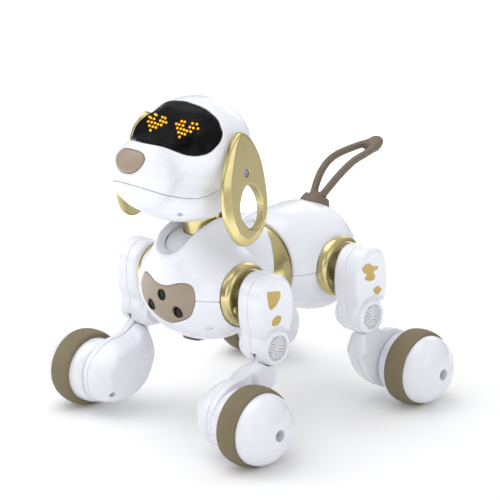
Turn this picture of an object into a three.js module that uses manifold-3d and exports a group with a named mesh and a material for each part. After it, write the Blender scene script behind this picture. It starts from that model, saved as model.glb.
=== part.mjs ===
// Robot dog toy: a wheeled, white-shelled pet robot with gold ears, hip rings and waist.
// Units are millimetres. +Z is up, -Y is the way the dog faces, +X is the dog's left side.
// The origin is on the ground under the middle of the overall box.
import * as THREE from 'three';
import { mergeVertices } from 'three/addons/utils/BufferGeometryUtils.js';
import Module from 'manifold-3d';

const wasm = await Module();
wasm.setup();

// ---------------------------------------------------------------- shared dimensions
const Y_SHIFT = -11.63;         // moves the wheelbase middle to the middle of the box
const GAP = 0.3;                // running clearance between neighbouring pieces
const WALL = 2.2;               // moulded shell thickness
const INSERT_SINK = 0.05;       // inserts sit this far below the shell surface
const INSERT_DEPTH = 2;         // depth of the back of a body insert
const COARSE = [14, 9];         // segments around and from pole to pole on hidden surfaces

const HIP_Y = 52;
const HIP_Z = 110.5;
const HIP_STUB_R = 5;
const RING_X0 = 43;
const RING_OUT_R = 24;
const NECK_Y = -52;
const NECK_R = 13.5;
const BAND_Y1 = 9.1;            // rear edge of the waist band

// ---------------------------------------------------------------- materials
const material = (name, { color, roughness, metalness = 0 }) =>
  Object.assign(new THREE.MeshStandardMaterial({ color, roughness, metalness }), { name });
const WHITE = material('gloss_white', { color: 0xeff1f7, roughness: 0.22 });
const GOLD = material('champagne_gold', { color: 0xb9a76c, roughness: 0.3, metalness: 1 });
const TAUPE = material('taupe_rubber', { color: 0x857a5e, roughness: 0.7 });
const TAUPE_TRIM = material('taupe_trim', { color: 0xa39481, roughness: 0.45 });
const TAIL = material('tail_silicone', { color: 0x7b6e5c, roughness: 0.6 });
const BLACK = material('black_gloss', { color: 0x0b0b0d, roughness: 0.1 });
const SENSOR = material('sensor_black', { color: 0x15151a, roughness: 0.4 });
const PCB = material('circuit_board', { color: 0x1f5a3a, roughness: 0.5 });
const INNER = material('inner_plastic', { color: 0x5a5d63, roughness: 0.6 });
const STEEL = material('screw_steel', { color: 0xb8bcc4, roughness: 0.35, metalness: 1 });

// ---------------------------------------------------------------- solids
function toSolid(geometry) {
  const bare = geometry.clone();
  bare.deleteAttribute('normal');
  bare.deleteAttribute('uv');
  const merged = mergeVertices(bare, 1e-4);
  return new wasm.Manifold(new wasm.Mesh({
    numProp: 3,
    vertProperties: new Float32Array(merged.attributes.position.array),
    triVerts: new Uint32Array(merged.index.array),
  }));
}

function toGeometry(solid) {
  const mesh = solid.getMesh();
  const geometry = new THREE.BufferGeometry();
  const positions = new Float32Array(mesh.vertProperties);
  geometry.setAttribute('position', new THREE.BufferAttribute(positions, 3));
  geometry.setIndex(new THREE.BufferAttribute(new Uint32Array(mesh.triVerts), 1));
  geometry.computeVertexNormals();
  return geometry;
}

// copy scaled by signs of 1 or -1; a single flip also turns the triangles over
function mirrored(geometry, signX, signY) {
  const copy = geometry.clone().scale(signX, signY, 1);
  if (signX * signY < 0) {
    const index = copy.index.array;
    for (let k = 0; k < index.length; k += 3) {
      [index[k], index[k + 1]] = [index[k + 1], index[k]];
    }
  }
  copy.computeVertexNormals();
  return copy;
}

const cut = (first, ...rest) => rest.reduce((solid, next) => solid.subtract(next), first);
const join = (first, ...rest) => rest.reduce((solid, next) => solid.add(next), first);
const common = (first, ...rest) => rest.reduce((solid, next) => solid.intersect(next), first);

function block([x0, x1], [y0, y1], [z0, z1]) {
  const box = new THREE.BoxGeometry(x1 - x0, y1 - y0, z1 - z0);
  return toSolid(box.translate((x0 + x1) / 2, (y0 + y1) / 2, (z0 + z1) / 2));
}

// everything on one side of a seam, less half the gap
const BIG = 400;
const ALL = [-BIG, BIG];
const aboveSeam = (z) => block(ALL, ALL, [z + GAP / 2, BIG]);
const belowSeam = (z) => block(ALL, ALL, [-BIG, z - GAP / 2]);
const outsideSeam = (x) => block([x + GAP / 2, BIG], ALL, ALL);
const insideSeam = (x) => block([-BIG, x - GAP / 2], ALL, ALL);

// cylinders along one axis: radius, ends on that axis, place on the other two axes
const cylinder = (radius, [from, to], segments) =>
  new THREE.CylinderGeometry(radius, radius, to - from, segments);
const cylX = (radius, ends, [y, z], segments) =>
  toSolid(cylinder(radius, ends, segments)
    .rotateZ(-Math.PI / 2).translate((ends[0] + ends[1]) / 2, y, z));
const cylY = (radius, ends, [x, z], segments) =>
  toSolid(cylinder(radius, ends, segments).translate(x, (ends[0] + ends[1]) / 2, z));
const cylZ = (radius, ends, [x, y], segments) =>
  toSolid(cylinder(radius, ends, segments)
    .rotateX(Math.PI / 2).translate(x, y, (ends[0] + ends[1]) / 2));

// closed profile of [along, radius] turned about the Y axis
function lathe(profile, segments) {
  const points = profile.map(([along, radius]) => new THREE.Vector2(radius, along));
  const endsOnAxis = profile[0][1] === 0 && profile.at(-1)[1] === 0;
  if (!endsOnAxis) points.push(points[0].clone());
  if (THREE.ShapeUtils.area(points) < 0) points.reverse();
  return new THREE.LatheGeometry(points, segments);
}
const turnX = (profile, segments, [y, z]) =>
  toSolid(lathe(profile, segments).rotateZ(-Math.PI / 2).translate(0, y, z));

// extrusions of an outline; a plate's outline is (y, z), a Y prism's (x, z), a Z prism's (x, y)
const toShape = (outline) => new THREE.Shape(outline.map(([u, v]) => new THREE.Vector2(u, v)));
const extrude = (outline, options) =>
  new THREE.ExtrudeGeometry(toShape(outline), { bevelEnabled: false, ...options });

function plateX(outline, [x0, x1], bevel = 0) {
  const plate = extrude(outline, {
    depth: x1 - x0 - 2 * bevel,
    bevelEnabled: bevel > 0,
    bevelThickness: bevel,
    bevelSize: bevel,
    bevelOffset: -bevel,
    bevelSegments: 1,
  });
  return toSolid(plate.applyMatrix4(new THREE.Matrix4().set(
    0, 0, 1, x0 + bevel,
    1, 0, 0, 0,
    0, 1, 0, 0,
    0, 0, 0, 1)));
}
const prismY = (outline, [y0, y1]) =>
  toSolid(extrude(outline, { depth: y1 - y0 }).rotateX(Math.PI / 2).translate(0, y1, 0));
const prismZ = (outline, [z0, z1]) =>
  toSolid(extrude(outline, { depth: z1 - z0 }).translate(0, 0, z0));

// (y, z) outline run along X through stations of [x, scale about the centre]
function dishX(outline, stations, [centreY, centreZ]) {
  const steps = stations.length - 1;
  const dish = extrude(outline, { depth: steps, steps });
  const position = dish.attributes.position;
  for (let i = 0; i < position.count; i++) {
    const [x, scale] = stations[Math.round(position.getZ(i))];
    const y = centreY + (position.getX(i) - centreY) * scale;
    const z = centreZ + (position.getY(i) - centreZ) * scale;
    position.setXYZ(i, x, y, z);
  }
  return toSolid(dish);
}

// ---------------------------------------------------------------- outlines
const polar = ([u, v], radius, angle) =>
  [u + radius * Math.cos(angle), v + radius * Math.sin(angle)];
const fan = (centre, radius, angles) =>
  [centre, ...angles.map((angle) => polar(centre, radius, angle))];

// two circles joined by their outer tangents
function twoCircles(a, radiusA, b, radiusB, segments) {
  const [du, dv] = [b[0] - a[0], b[1] - a[1]];
  const base = Math.atan2(dv, du);
  const tangent = Math.acos((radiusA - radiusB) / Math.hypot(du, dv));
  const countA = Math.round(segments * (Math.PI - tangent) / Math.PI);
  const countB = segments - countA;
  const points = [];
  for (let i = 0; i <= countA; i++) {
    const angle = base + tangent + (2 * Math.PI - 2 * tangent) * i / countA;
    points.push(polar(a, radiusA, angle));
  }
  for (let i = 0; i <= countB; i++) {
    points.push(polar(b, radiusB, base - tangent + 2 * tangent * i / countB));
  }
  return points;
}

// moves an outline outwards by a distance, whichever way round it runs
function grow(outline, distance) {
  const area = THREE.ShapeUtils.area(outline.map(([x, y]) => ({ x, y })));
  const step = area > 0 ? distance : -distance;
  return outline.map(([u, v], i) => {
    const before = outline.at(i - 1);
    const after = outline[(i + 1) % outline.length];
    const [du, dv] = [after[0] - before[0], after[1] - before[1]];
    const length = Math.hypot(du, dv);
    return [u + step * dv / length, v - step * du / length];
  });
}

// evenly spaced points on a closed curve through the given ones
function smooth(points, count) {
  const vectors = points.map(([u, v]) => new THREE.Vector3(u, v, 0));
  const curve = new THREE.CatmullRomCurve3(vectors, true, 'centripetal');
  return curve.getSpacedPoints(count).slice(0, count).map(({ x, y }) => [x, y]);
}

// whole outline from its +X half, whose first and last points lie on x = 0
const symmetric = (half) =>
  [...half, ...half.slice(1, -1).reverse().map(([x, z]) => [-x, z])];

// ---------------------------------------------------------------- blended rounded bodies
// distance functions: negative inside, positive outside
function ellipsoid([x, y, z], centre, [rx, ry, rz]) {
  const [dx, dy, dz] = [x - centre[0], y - centre[1], z - centre[2]];
  const reach = Math.hypot(dx / rx, dy / ry, dz / rz);
  const slope = Math.hypot(dx / rx ** 2, dy / ry ** 2, dz / rz ** 2) + 1e-9;
  return reach * (reach - 1) / slope;
}
function capsule(point, start, end, startR, endR) {
  const away = point.map((value, k) => value - start[k]);
  const span = end.map((value, k) => value - start[k]);
  const dot = (a, b) => a[0] * b[0] + a[1] * b[1] + a[2] * b[2];
  const part = Math.min(1, Math.max(0, dot(away, span) / dot(span, span)));
  return Math.hypot(...away.map((value, k) => value - part * span[k]))
    - (startR + (endR - startR) * part);
}
function blend(a, b, width) {
  const share = Math.min(1, Math.max(0, 0.5 + 0.5 * (b - a) / width));
  return b + (a - b) * share - width * share * (1 - share);
}

function headForm(p) {
  const skull = ellipsoid(p, [0, -55.7, 216.4], [46.8, 35.8, 38]);
  const face = ellipsoid(p, [0, -73.2, 215.6], [44.2, 26.8, 21.4]);
  const muzzle = ellipsoid(p, [0, -110.9, 204.7], [28.8, 16.8, 25.5]);
  const jaw = ellipsoid(p, [0, -72.9, 183.4], [39.1, 35.9, 19.5]);
  return blend(blend(blend(skull, face, 10), muzzle, 14), jaw, 10);
}
function chestForm(p) {
  const barrel = ellipsoid(p, [0, -52.2, 108.8], [54.7, 42.1, 40.8]);
  const collar = capsule(p, [0, -52, 120], [0, -64.2, 135.5], 27, 27.1);
  return blend(barrel, collar, 12);
}
function rumpForm(p) {
  const rear = ellipsoid(p, [0, 60, 109.3], [50, 34.1, 43.6]);
  const front = ellipsoid(p, [0, 30, 113.7], [43.2, 39.6, 38.9]);
  return blend(rear, front, 16);
}

// sphere grid pushed out from the centre until it lies at an offset from the form
function rounded(form, centre, offset, around, rings) {
  const sphere = new THREE.SphereGeometry(1, around, rings).rotateX(Math.PI / 2);
  sphere.deleteAttribute('normal');
  sphere.deleteAttribute('uv');
  const geometry = mergeVertices(sphere, 1e-5);
  const position = geometry.attributes.position;
  for (let i = 0; i < position.count; i++) {
    const ray = new THREE.Vector3().fromBufferAttribute(position, i).normalize().toArray();
    const at = (distance) => ray.map((value, k) => centre[k] + value * distance);
    let near = 1;
    let far = 130;
    for (let k = 0; k < 40; k++) {
      const middle = (near + far) / 2;
      if (form(at(middle)) < offset) near = middle;
      else far = middle;
    }
    position.setXYZ(i, ...at(near));
  }
  return toSolid(geometry);
}
const headBody = (offset, around = 26, rings = 16) =>
  rounded(headForm, [0, -72, 207], offset, around, rings);
const chestBody = (offset, around = 22, rings = 13) =>
  rounded(chestForm, [0, -56, 114], offset, around, rings);
const rumpBody = (offset, around = 22, rings = 13) =>
  rounded(rumpForm, [0, 46, 111], offset, around, rings);

// ---------------------------------------------------------------- ears
const EAR_X = 53.2;
const EAR_PIVOT = [-61.5, 206];   // [y, z]
const EAR_TILT = 0.165;           // sideways slope of the plate
const EAR_T = 6.4;
const EAR_EDGE = 1.8;             // bevel
const EAR_HOLE_R = 2.7;
const EAR_SHELL_HOLE_R = 2.8;
const EAR_SCREW_R = 2.3;
const EAR_SCREW_HEAD_R = 3.8;
const EAR_THROUGH = [-10, 10];

// [y, z]
const EAR_LINE = smooth([
  [-61, 235], [-53.4, 229], [-48.3, 220], [-45.2, 209], [-44.1, 196], [-44.1, 184],
  [-45.7, 174], [-49.4, 165], [-55.4, 158.2], [-63.3, 154.4], [-70.3, 154.8], [-76.3, 159.5],
  [-81.4, 168.8], [-83.3, 177.8], [-83.1, 189.6], [-81.8, 201.2], [-76.4, 214.8], [-69.2, 227.9],
], 24);
const EAR_WINDOW = smooth([
  [-62, 198.3], [-68.3, 195], [-71.7, 188.8], [-73.6, 183.2], [-73.3, 175.3], [-70.2, 169.4],
  [-63.5, 164.3], [-58.4, 165.4], [-53.4, 170.6], [-51.6, 179.4], [-52.6, 186.4], [-56.4, 194.2],
], 14);

// ear parts are made about x = 0, then tilted at the pivot and moved to the left side
const EAR_PLACE = new THREE.Matrix4().makeTranslation(EAR_X, ...EAR_PIVOT)
  .multiply(new THREE.Matrix4().makeRotationY(-Math.atan(EAR_TILT)))
  .multiply(new THREE.Matrix4().makeTranslation(0, -EAR_PIVOT[0], -EAR_PIVOT[1]));
const placeEar = (solid) => toGeometry(solid).applyMatrix4(EAR_PLACE);

// flat plate with a drop-shaped window
const ear = () => placeEar(cut(
  plateX(EAR_LINE, [-EAR_T / 2, EAR_T / 2], EAR_EDGE),
  plateX(EAR_WINDOW, EAR_THROUGH),
  cylX(EAR_HOLE_R, EAR_THROUGH, EAR_PIVOT, 12)));
const earScrew = () => placeEar(join(
  cylX(EAR_SCREW_R, [-16, 0.5], EAR_PIVOT, 12),
  cylX(EAR_SCREW_HEAD_R, [3.5, 5], EAR_PIVOT, 12),
  cylX(EAR_SCREW_R, [0, 4], EAR_PIVOT, 12)));
function earShellHoles() {
  const left = placeEar(cylX(EAR_SHELL_HOLE_R, [-30, 10], EAR_PIVOT, 12));
  return join(toSolid(left), toSolid(mirrored(left, -1, 1)));
}

// ---------------------------------------------------------------- head
const HEAD_WALL = WALL + 0.8;
const MOUTH_SLOPE = 0.145;        // radians, rising towards the nose
const MOUTH_Y = -73;
const MOUTH_Z = 194;
const VISOR_Y = [-140, -61];
const NOSE_Y = [-140, -100];

// [x, z]
const VISOR_LINE = symmetric([
  [0, 250.8], [12, 250.2], [21.5, 247.6], [29.4, 243.4], [35.2, 238], [38.6, 232.5],
  [39.8, 227.5], [38.4, 223], [34, 220.8], [26.5, 221.4], [18.5, 224.9], [11, 228.3],
  [4, 229.6], [0, 229.9],
]);
const NOSE_LINE = symmetric([
  [0, 225.2], [6, 224.8], [11.5, 223.4], [14.6, 220.4],
  [14.4, 216.2], [11, 211.4], [5.5, 208.9], [0, 208.4],
]);

// space above (side 1) or below (side -1) the mouth line, less half the gap
const mouthSide = (side) => toSolid(new THREE.BoxGeometry(BIG, BIG, BIG)
  .translate(0, 0, side * BIG / 2)
  .rotateX(-MOUTH_SLOPE)
  .translate(0, MOUTH_Y, MOUTH_Z + side * GAP / 2));
const headShell = (side) =>
  common(cut(headBody(0), headBody(-HEAD_WALL, 20, 13)), mouthSide(side));

const headUpperShell = () => cut(headShell(1),
  prismY(grow(VISOR_LINE, GAP), [VISOR_Y[0], VISOR_Y[1] + GAP]),
  prismY(grow(NOSE_LINE, GAP), NOSE_Y),
  earShellHoles());
const headLowerShell = () =>
  cut(headShell(-1), cylZ(NECK_R + 0.7, [150, 190], [0, NECK_Y], 24));
const visorLens = () =>
  common(cut(headBody(-INSERT_SINK), headBody(-2.4, 22, 14)), prismY(VISOR_LINE, VISOR_Y));
const ledBoard = () => common(
  cut(headBody(-5, ...COARSE), headBody(-6.8, ...COARSE)),
  prismY(grow(VISOR_LINE, -3), [VISOR_Y[0], VISOR_Y[1] - 6]));
const nosePad = () => common(cut(headBody(1.3), headBody(-1.6)), prismY(NOSE_LINE, NOSE_Y));

// ---------------------------------------------------------------- neck
const NOD = [-56, 120];           // nodding axis, [y, z]
const SHIELD_R = 32.5;
const SHIELD_T = 1.8;
const SHIELD_HALF_X = 13.2;
const SHIELD_FRONT_Y = -70.5;     // centre of the rounded front end
const SHIELD_ANGLES = [165, 140, 115, 90, 72].map(THREE.MathUtils.degToRad);
const STEM_R = 4;

const nodCylinder = (radius, halfX, segments = 32) => cylX(radius, [-halfX, halfX], NOD, segments);

// curved shield that slides under the chest opening as the head nods
function neckShield() {
  const arc = cut(nodCylinder(SHIELD_R, 15), nodCylinder(SHIELD_R - SHIELD_T, 20));
  const plan = join(
    cylZ(SHIELD_HALF_X, [100, 200], [0, SHIELD_FRONT_Y], 24),
    block([-SHIELD_HALF_X, SHIELD_HALF_X], [SHIELD_FRONT_Y, -44], [100, 200]));
  return cut(common(arc, plateX(fan(NOD, 60, SHIELD_ANGLES), [-40, 40]), plan),
    cylZ(STEM_R + GAP, [120, 170], [0, NECK_Y], 14));
}
// hollow post over the shield, with a stem and web down to the nodding axle
function neckPost() {
  const tube = cut(
    cylZ(NECK_R, [140, 171.5], [0, NECK_Y], 22),
    cylZ(NECK_R - 2, [157.5, 180], [0, NECK_Y], 14),
    nodCylinder(SHIELD_R + GAP, 30));
  const [nodY, nodZ] = NOD;
  return join(tube,
    cylZ(STEM_R, [nodZ, 158], [0, NECK_Y], 14),
    nodCylinder(3.2, 15, 14),
    block([-3, 3], [nodY, NECK_Y], [nodZ - 2, nodZ + 10]));
}

// ---------------------------------------------------------------- waist band
const BAND_Z = 110;
const BAND_MAX_R = 35.2;
const BAND_CLEARANCE = 0.6;
const BAND_CUT_Y1 = 12;
// [y, radius], front to rear; the last two points taper to the rear edge
const BAND_PROFILE = [
  [-24, 28.6], [-17, 31.8], [-10, 34], [-2, BAND_MAX_R], [5, BAND_MAX_R], [BAND_Y1, 34.8],
];
// solid turned about the waist axis, closed to the axis at both ends
const waistTurn = (profile, segments) => toSolid(
  lathe([[profile[0][0], 0], ...profile, [profile.at(-1)[0], 0]], segments)
    .translate(0, 0, BAND_Z));
const waistBand = () => cut(
  waistTurn(BAND_PROFILE, 24),
  waistTurn([[-30, 24], [-24, 26.2], [-10, 31.4], [-2, 32.6], [BAND_CUT_Y1, 32.6]], 16));
const bandClearance = () => waistTurn([
  [-40, 22],
  ...BAND_PROFILE.slice(0, 4).map(([y, radius]) => [y, radius + BAND_CLEARANCE]),
  [BAND_CUT_Y1, BAND_MAX_R + BAND_CLEARANCE],
], 24);

// ---------------------------------------------------------------- chest
const CHEST_SEAM_Z = 110;
const PANEL_Y = [-120, -70];
const NECK_SLOT_R = 15.2;
const EYE_HOLE_R = 4.6;
const EYE_R = 3.7;
const EYES = [[0, 109.8, -94.4], [14, 98.8, -91.7], [-14, 98.8, -91.7]];   // [x, z, y]
const BELLY_LINE = twoCircles([0, -66], 7, [0, -50], 7, 16);   // [x, y]

// [x, z]
const NECK_SLOT_LINE = smooth(symmetric([
  [0, 141], [8, 142.5], [13.5, 148], [NECK_SLOT_R, 155], [NECK_SLOT_R, 175], [0, 180],
]), 24);
const PANEL_LINE = symmetric([
  [0, 117.1], [7.7, 118.2], [15.5, 121], [24, 121], [28, 116.7], [29, 109.3],
  [27, 102], [22.5, 96], [13.3, 91], [4, 87.8], [0, 87.4],
]);

// pockets for the hip rings on both sides
const hipPockets = (y) => join(
  cylX(RING_OUT_R + GAP, [RING_X0 - GAP, 80], [y, HIP_Z], 18),
  cylX(RING_OUT_R + GAP, [-80, -RING_X0 + GAP], [y, HIP_Z], 18));
const neckSlot = () => common(
  join(prismY(NECK_SLOT_LINE, [-100, -33]), cylZ(NECK_SLOT_R, [150, 190], [0, NECK_Y], 28)),
  block([-40, 40], [-110, -33.5], [136, 200]));
const chestShell = () =>
  cut(chestBody(0), chestBody(-WALL, ...COARSE), bandClearance(), hipPockets(-HIP_Y));
const panelOpening = () => prismY(grow(PANEL_LINE, GAP), PANEL_Y);
const bellyPrism = (margin) => prismZ(grow(BELLY_LINE, margin), [60, 90]);

const chestUpperShell = () =>
  cut(common(chestShell(), aboveSeam(CHEST_SEAM_Z)), neckSlot(), panelOpening());
const chestLowerShell = () =>
  cut(common(chestShell(), belowSeam(CHEST_SEAM_Z)), panelOpening(), bellyPrism(GAP));
const sensorPanel = () => cut(
  common(cut(chestBody(-INSERT_SINK), chestBody(-INSERT_DEPTH, ...COARSE)),
    prismY(PANEL_LINE, PANEL_Y)),
  ...EYES.map(([x, z]) => cylY(EYE_HOLE_R, [-120, -60], [x, z], 12)));
const sensorBoard = () => join(
  block([-19, 19], [-85.6, -84], [95, 114]),
  ...EYES.map(([x, z, y]) => cylY(EYE_R, [y + 2.2, -84.5], [x, z], 10)));
const bellyPad = () => common(
  cut(chestBody(2, 16, 10), chestBody(-INSERT_DEPTH, ...COARSE)),
  bellyPrism(0),
  block([-30, 30], [-100, 0], [67, 90]));

// [depth below the top face, radius]
const SPEAKER_PROFILE = [[0, 0], [0, 8], [3, 8], [5, 14], [6.2, 14], [6.2, 0]];
const speaker = () =>
  toSolid(lathe(SPEAKER_PROFILE, 20).rotateX(-Math.PI / 2).translate(0, -38, 92));

// ---------------------------------------------------------------- tail
const TAIL_Y = 72;
const TAIL_Z = 150.2;
const TAIL_LEAN = 0.45;           // radians, backwards
const TAIL_WIRE_R = 2.8;
const MOUNT_TOP = 7.5;            // mount's top face, along the leaning axis
// left strand from the mount to the tip, [x, y, z]
const TAIL_STRAND = [
  [5.5, 75.5, 157.4], [7.6, 80.5, 162], [9.6, 88, 170], [10.8, 98, 176.8],
  [10.8, 110, 181], [9.2, 123, 183.2], [5.8, 135, 185.4], [2.6, 141.5, 186.4],
];

// leans a shape made about the Z axis and moves it to the tail mount
const placeTail = (geometry) =>
  toSolid(geometry.rotateX(-TAIL_LEAN).translate(0, TAIL_Y, TAIL_Z));
const tailCone = (baseR, topR, [z0, z1], segments) =>
  placeTail(new THREE.CylinderGeometry(topR, baseR, z1 - z0, segments)
    .rotateX(Math.PI / 2).translate(0, 0, (z0 + z1) / 2));

const tailMount = () => join(
  cut(tailCone(13.4, 8.6, [-6.5, MOUNT_TOP], 24), rumpBody(GAP)),
  tailCone(5.9, 5.9, [-14.5, MOUNT_TOP], 20));

// soft loop of two strands that meet in a rounded tip
function tailLoop() {
  const rightStrand = TAIL_STRAND.map(([x, y, z]) => [-x, y, z]).reverse();
  const path = [...TAIL_STRAND, ...rightStrand].map((point) => new THREE.Vector3(...point));
  const wire = [0, 1, 2, 3, 4, 5].map((k) => polar([0, 0], TAIL_WIRE_R, k * Math.PI / 3));
  const strand = extrude(wire, { steps: 28, extrudePath: new THREE.CatmullRomCurve3(path) });
  const tip = new THREE.SphereGeometry(1, 10, 7)
    .scale(5.6, 9, 3.6).rotateX(0.12).translate(0, 142.5, 186.4);
  const mountSpace = new THREE.BoxGeometry(60, 60, 30).translate(0, 0, MOUNT_TOP + GAP - 15);
  return cut(join(toSolid(strand), toSolid(tip)), placeTail(mountSpace));
}

// ---------------------------------------------------------------- rump
const RUMP_SEAM_Z = 109.5;
const SWITCH_Y = 27;
const SWITCH_FRONT_Y = SWITCH_Y - 4.8;
const SWITCH_Z = 80.5;            // joint of the switch's knob and flange
// battery cover, [x, y]
const COVER_LINE = [
  [-17, 46], [-14, 43], [14, 43], [17, 46], [17, 74], [14, 77], [-14, 77], [-17, 74],
];

const rumpShell = () => cut(rumpBody(0), rumpBody(-WALL, ...COARSE),
  block(ALL, [-BIG, BAND_Y1 + GAP], ALL), hipPockets(HIP_Y));
const coverPrism = (margin) => prismZ(grow(COVER_LINE, margin), [60, 85]);

const rumpUpperShell = () =>
  cut(common(rumpShell(), aboveSeam(RUMP_SEAM_Z)), tailCone(6.3, 6.3, [-12, 12], 20));
const rumpLowerShell = () => cut(common(rumpShell(), belowSeam(RUMP_SEAM_Z)),
  coverPrism(GAP), block([-2.6, 2.6], [SWITCH_Y - 5.1, SWITCH_Y + 5.1], [60, 90]));
const batteryCover = () => common(
  cut(rumpBody(-INSERT_SINK), rumpBody(-INSERT_DEPTH, ...COARSE)),
  coverPrism(0),
  block([-30, 30], [30, 90], [66.8, 90]));
const batteryPack = () => block([-15, 15], [47, 73], [80, 95.5]);
const powerSwitch = () => join(
  block([-2.2, 2.2], [SWITCH_FRONT_Y, SWITCH_FRONT_Y + 5.6], [72.6, SWITCH_Z]),
  block([-3.6, 3.6], [SWITCH_Y - 5.4, SWITCH_Y + 1.4], [SWITCH_Z, 83]));

// ---------------------------------------------------------------- inside the body
const hipGearbox = (y) => cut(
  block([-24, 24], [y - 12, y + 12], [98, 116]),
  cylX(HIP_STUB_R + 0.5, [-40, 40], [y, HIP_Z], 12));
const mainBoard = () => block([-20, 20], [-22, 30], [100, 101.6]);

// ---------------------------------------------------------------- legs
// made for the rear left corner and mirrored to the others
const SEAM_X = 66;                // seam between outer and inner shells
const THROUGH_X = [40, 100];      // holes right through a leg
const HIP = [HIP_Y, HIP_Z];       // leg axes, [y, z]
const KNEE = [52.2, 77];
const WHEEL_R = 30;
const WHEEL = [90.6, WHEEL_R];

// hip ring: [x, radius]
const RING_FACE_X = RING_X0 + 2;
const RING_BORE_R = HIP_STUB_R + 0.6;
const hipRing = () => turnX([
  [RING_X0, RING_BORE_R], [RING_X0, RING_OUT_R], [RING_FACE_X, RING_OUT_R],
  [RING_X0 + 5.2, 22.4], [RING_X0 + 7, 19.4], [RING_X0 + 4.6, 15],
  [RING_FACE_X, 13.8], [RING_FACE_X, RING_BORE_R],
], 18, HIP);

// ---- thigh
const THIGH_X0 = 53;
const THIGH_X1 = 80;
const KNEE_R = 14.6;
const KNEE_PIN_R = 3;
const GRILLE_R = 9.6;
const SHANK_X1 = 71.5;
const MOUTH_HALF_ANGLE = THREE.MathUtils.degToRad(52 + 20);   // last 20 degrees are swing
// [y, z]
const THIGH_POINTS = [
  [52, 133.2], [58.5, 132], [64.5, 127.8], [68.8, 121.5], [70.6, 113], [70.5, 103],
  [69.2, 95], [67.2, 87], [66.6, 78], [65, 70.5], [60, 64.8], [52.2, 62.4],
  [44.3, 64.8], [39.3, 71], [37.6, 78], [36.2, 87], [33.9, 96], [33.2, 106],
  [33.8, 114], [36.5, 122], [41, 128.5], [46, 132],
];

// opening under the knee that lets the shank tongue swing
function kneeMouth() {
  const legDirection = Math.atan2(WHEEL[1] - KNEE[1], WHEEL[0] - KNEE[0]);
  const angles = [-1, -0.5, 0, 0.5, 1].map((part) => legDirection + part * MOUTH_HALF_ANGLE);
  return plateX(fan(KNEE, 30, angles), [SEAM_X - 1, SHANK_X1 - 0.4]);
}
function thighShell() {
  const outside = join(
    plateX(smooth(THIGH_POINTS, 20), [THIGH_X0, THIGH_X1], 4),
    cylX(KNEE_R - 1, [68, THIGH_X1], KNEE, 18));
  const innerLine = grow(smooth(THIGH_POINTS, 13), -WALL);
  return cut(outside, plateX(innerLine, [THIGH_X0 + WALL, THIGH_X1 - WALL], 3));
}
const thighOuter = () => cut(common(thighShell(), outsideSeam(SEAM_X)),
  kneeMouth(), cylX(GRILLE_R + GAP, [70, 100], KNEE, 18));
// inner shell carries the hip stub and the knee pin
const thighInner = () => join(
  cut(common(thighShell(), insideSeam(SEAM_X)), kneeMouth()),
  cylX(HIP_STUB_R, [2, THIGH_X0 + 1], HIP, 12),
  cylX(KNEE_PIN_R, [THIGH_X0 + 1, 74], KNEE, 10));
const kneeGrille = () => cylX(GRILLE_R, [76.4, 79.3], KNEE, 18);

// ---- shank
const AXLE_R = 4;
const SHANK_X0 = 45;
const SHANK_MIDDLE = [82, 35];    // [y, z]
const SHANK_PAST_X = SHANK_X1 + 12;
// [y, z]
const SHANK_POINTS = [
  [106.9, 14.2], [110.8, 22], [112, 30], [111.3, 38], [106.5, 46.3], [97.5, 53.6],
  [88, 57.2], [77, 58.7], [68.5, 62], [62.5, 66], [56, 68], [50, 64], [48.3, 55],
  [48.6, 45], [52, 36], [59, 24], [68, 15.5], [78, 10.5], [90, 8.3], [100, 10.2],
];
const SHANK_LINE = smooth(SHANK_POINTS, 20);

const kneeClearance = () => cylX(KNEE_R + 0.8, THROUGH_X, KNEE, 24);
// flat cheek with a tongue reaching up to the knee pin
const shankOuter = () => join(
  cut(plateX(SHANK_LINE, [SEAM_X + GAP / 2, SHANK_X1]),
    kneeClearance(), cylX(AXLE_R + 0.4, THROUGH_X, WHEEL, 12)),
  cut(plateX(twoCircles(KNEE, 9.5, [60, 60], 6, 12), [SEAM_X + 0.5, SHANK_X1 - 1.2]),
    cylX(KNEE_PIN_R + 0.4, THROUGH_X, KNEE, 12)));
// hollow dish that narrows towards the body
function shankInner() {
  const outside = dishX(SHANK_LINE,
    [[SHANK_X0, 0.55], [SHANK_X0 + 4, 0.85], [SHANK_X0 + 9, 1], [SHANK_PAST_X, 1]],
    SHANK_MIDDLE);
  const inside = dishX(grow(smooth(SHANK_POINTS, 12), -WALL),
    [[SHANK_X0 + WALL, 0.62], [SHANK_X0 + 9, 0.95], [SHANK_PAST_X, 0.95]],
    SHANK_MIDDLE);
  return cut(common(cut(outside, inside), insideSeam(SEAM_X)), kneeClearance());
}

// ---- wheel
const TYRE_X0 = 83;
const TYRE_X1 = 101;
const TYRE_SEAT_R = 25.2;
const HUB_APEX_X = 120;           // outermost point of the domed hub
const HUB_RIM_R = 27.6;
const HUB_BORE_R = 4.7;
const DRUM_R = 25;
const DRUM_X0 = 71.9;
const DRUM_X1 = TYRE_X0 - 0.1;

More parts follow.
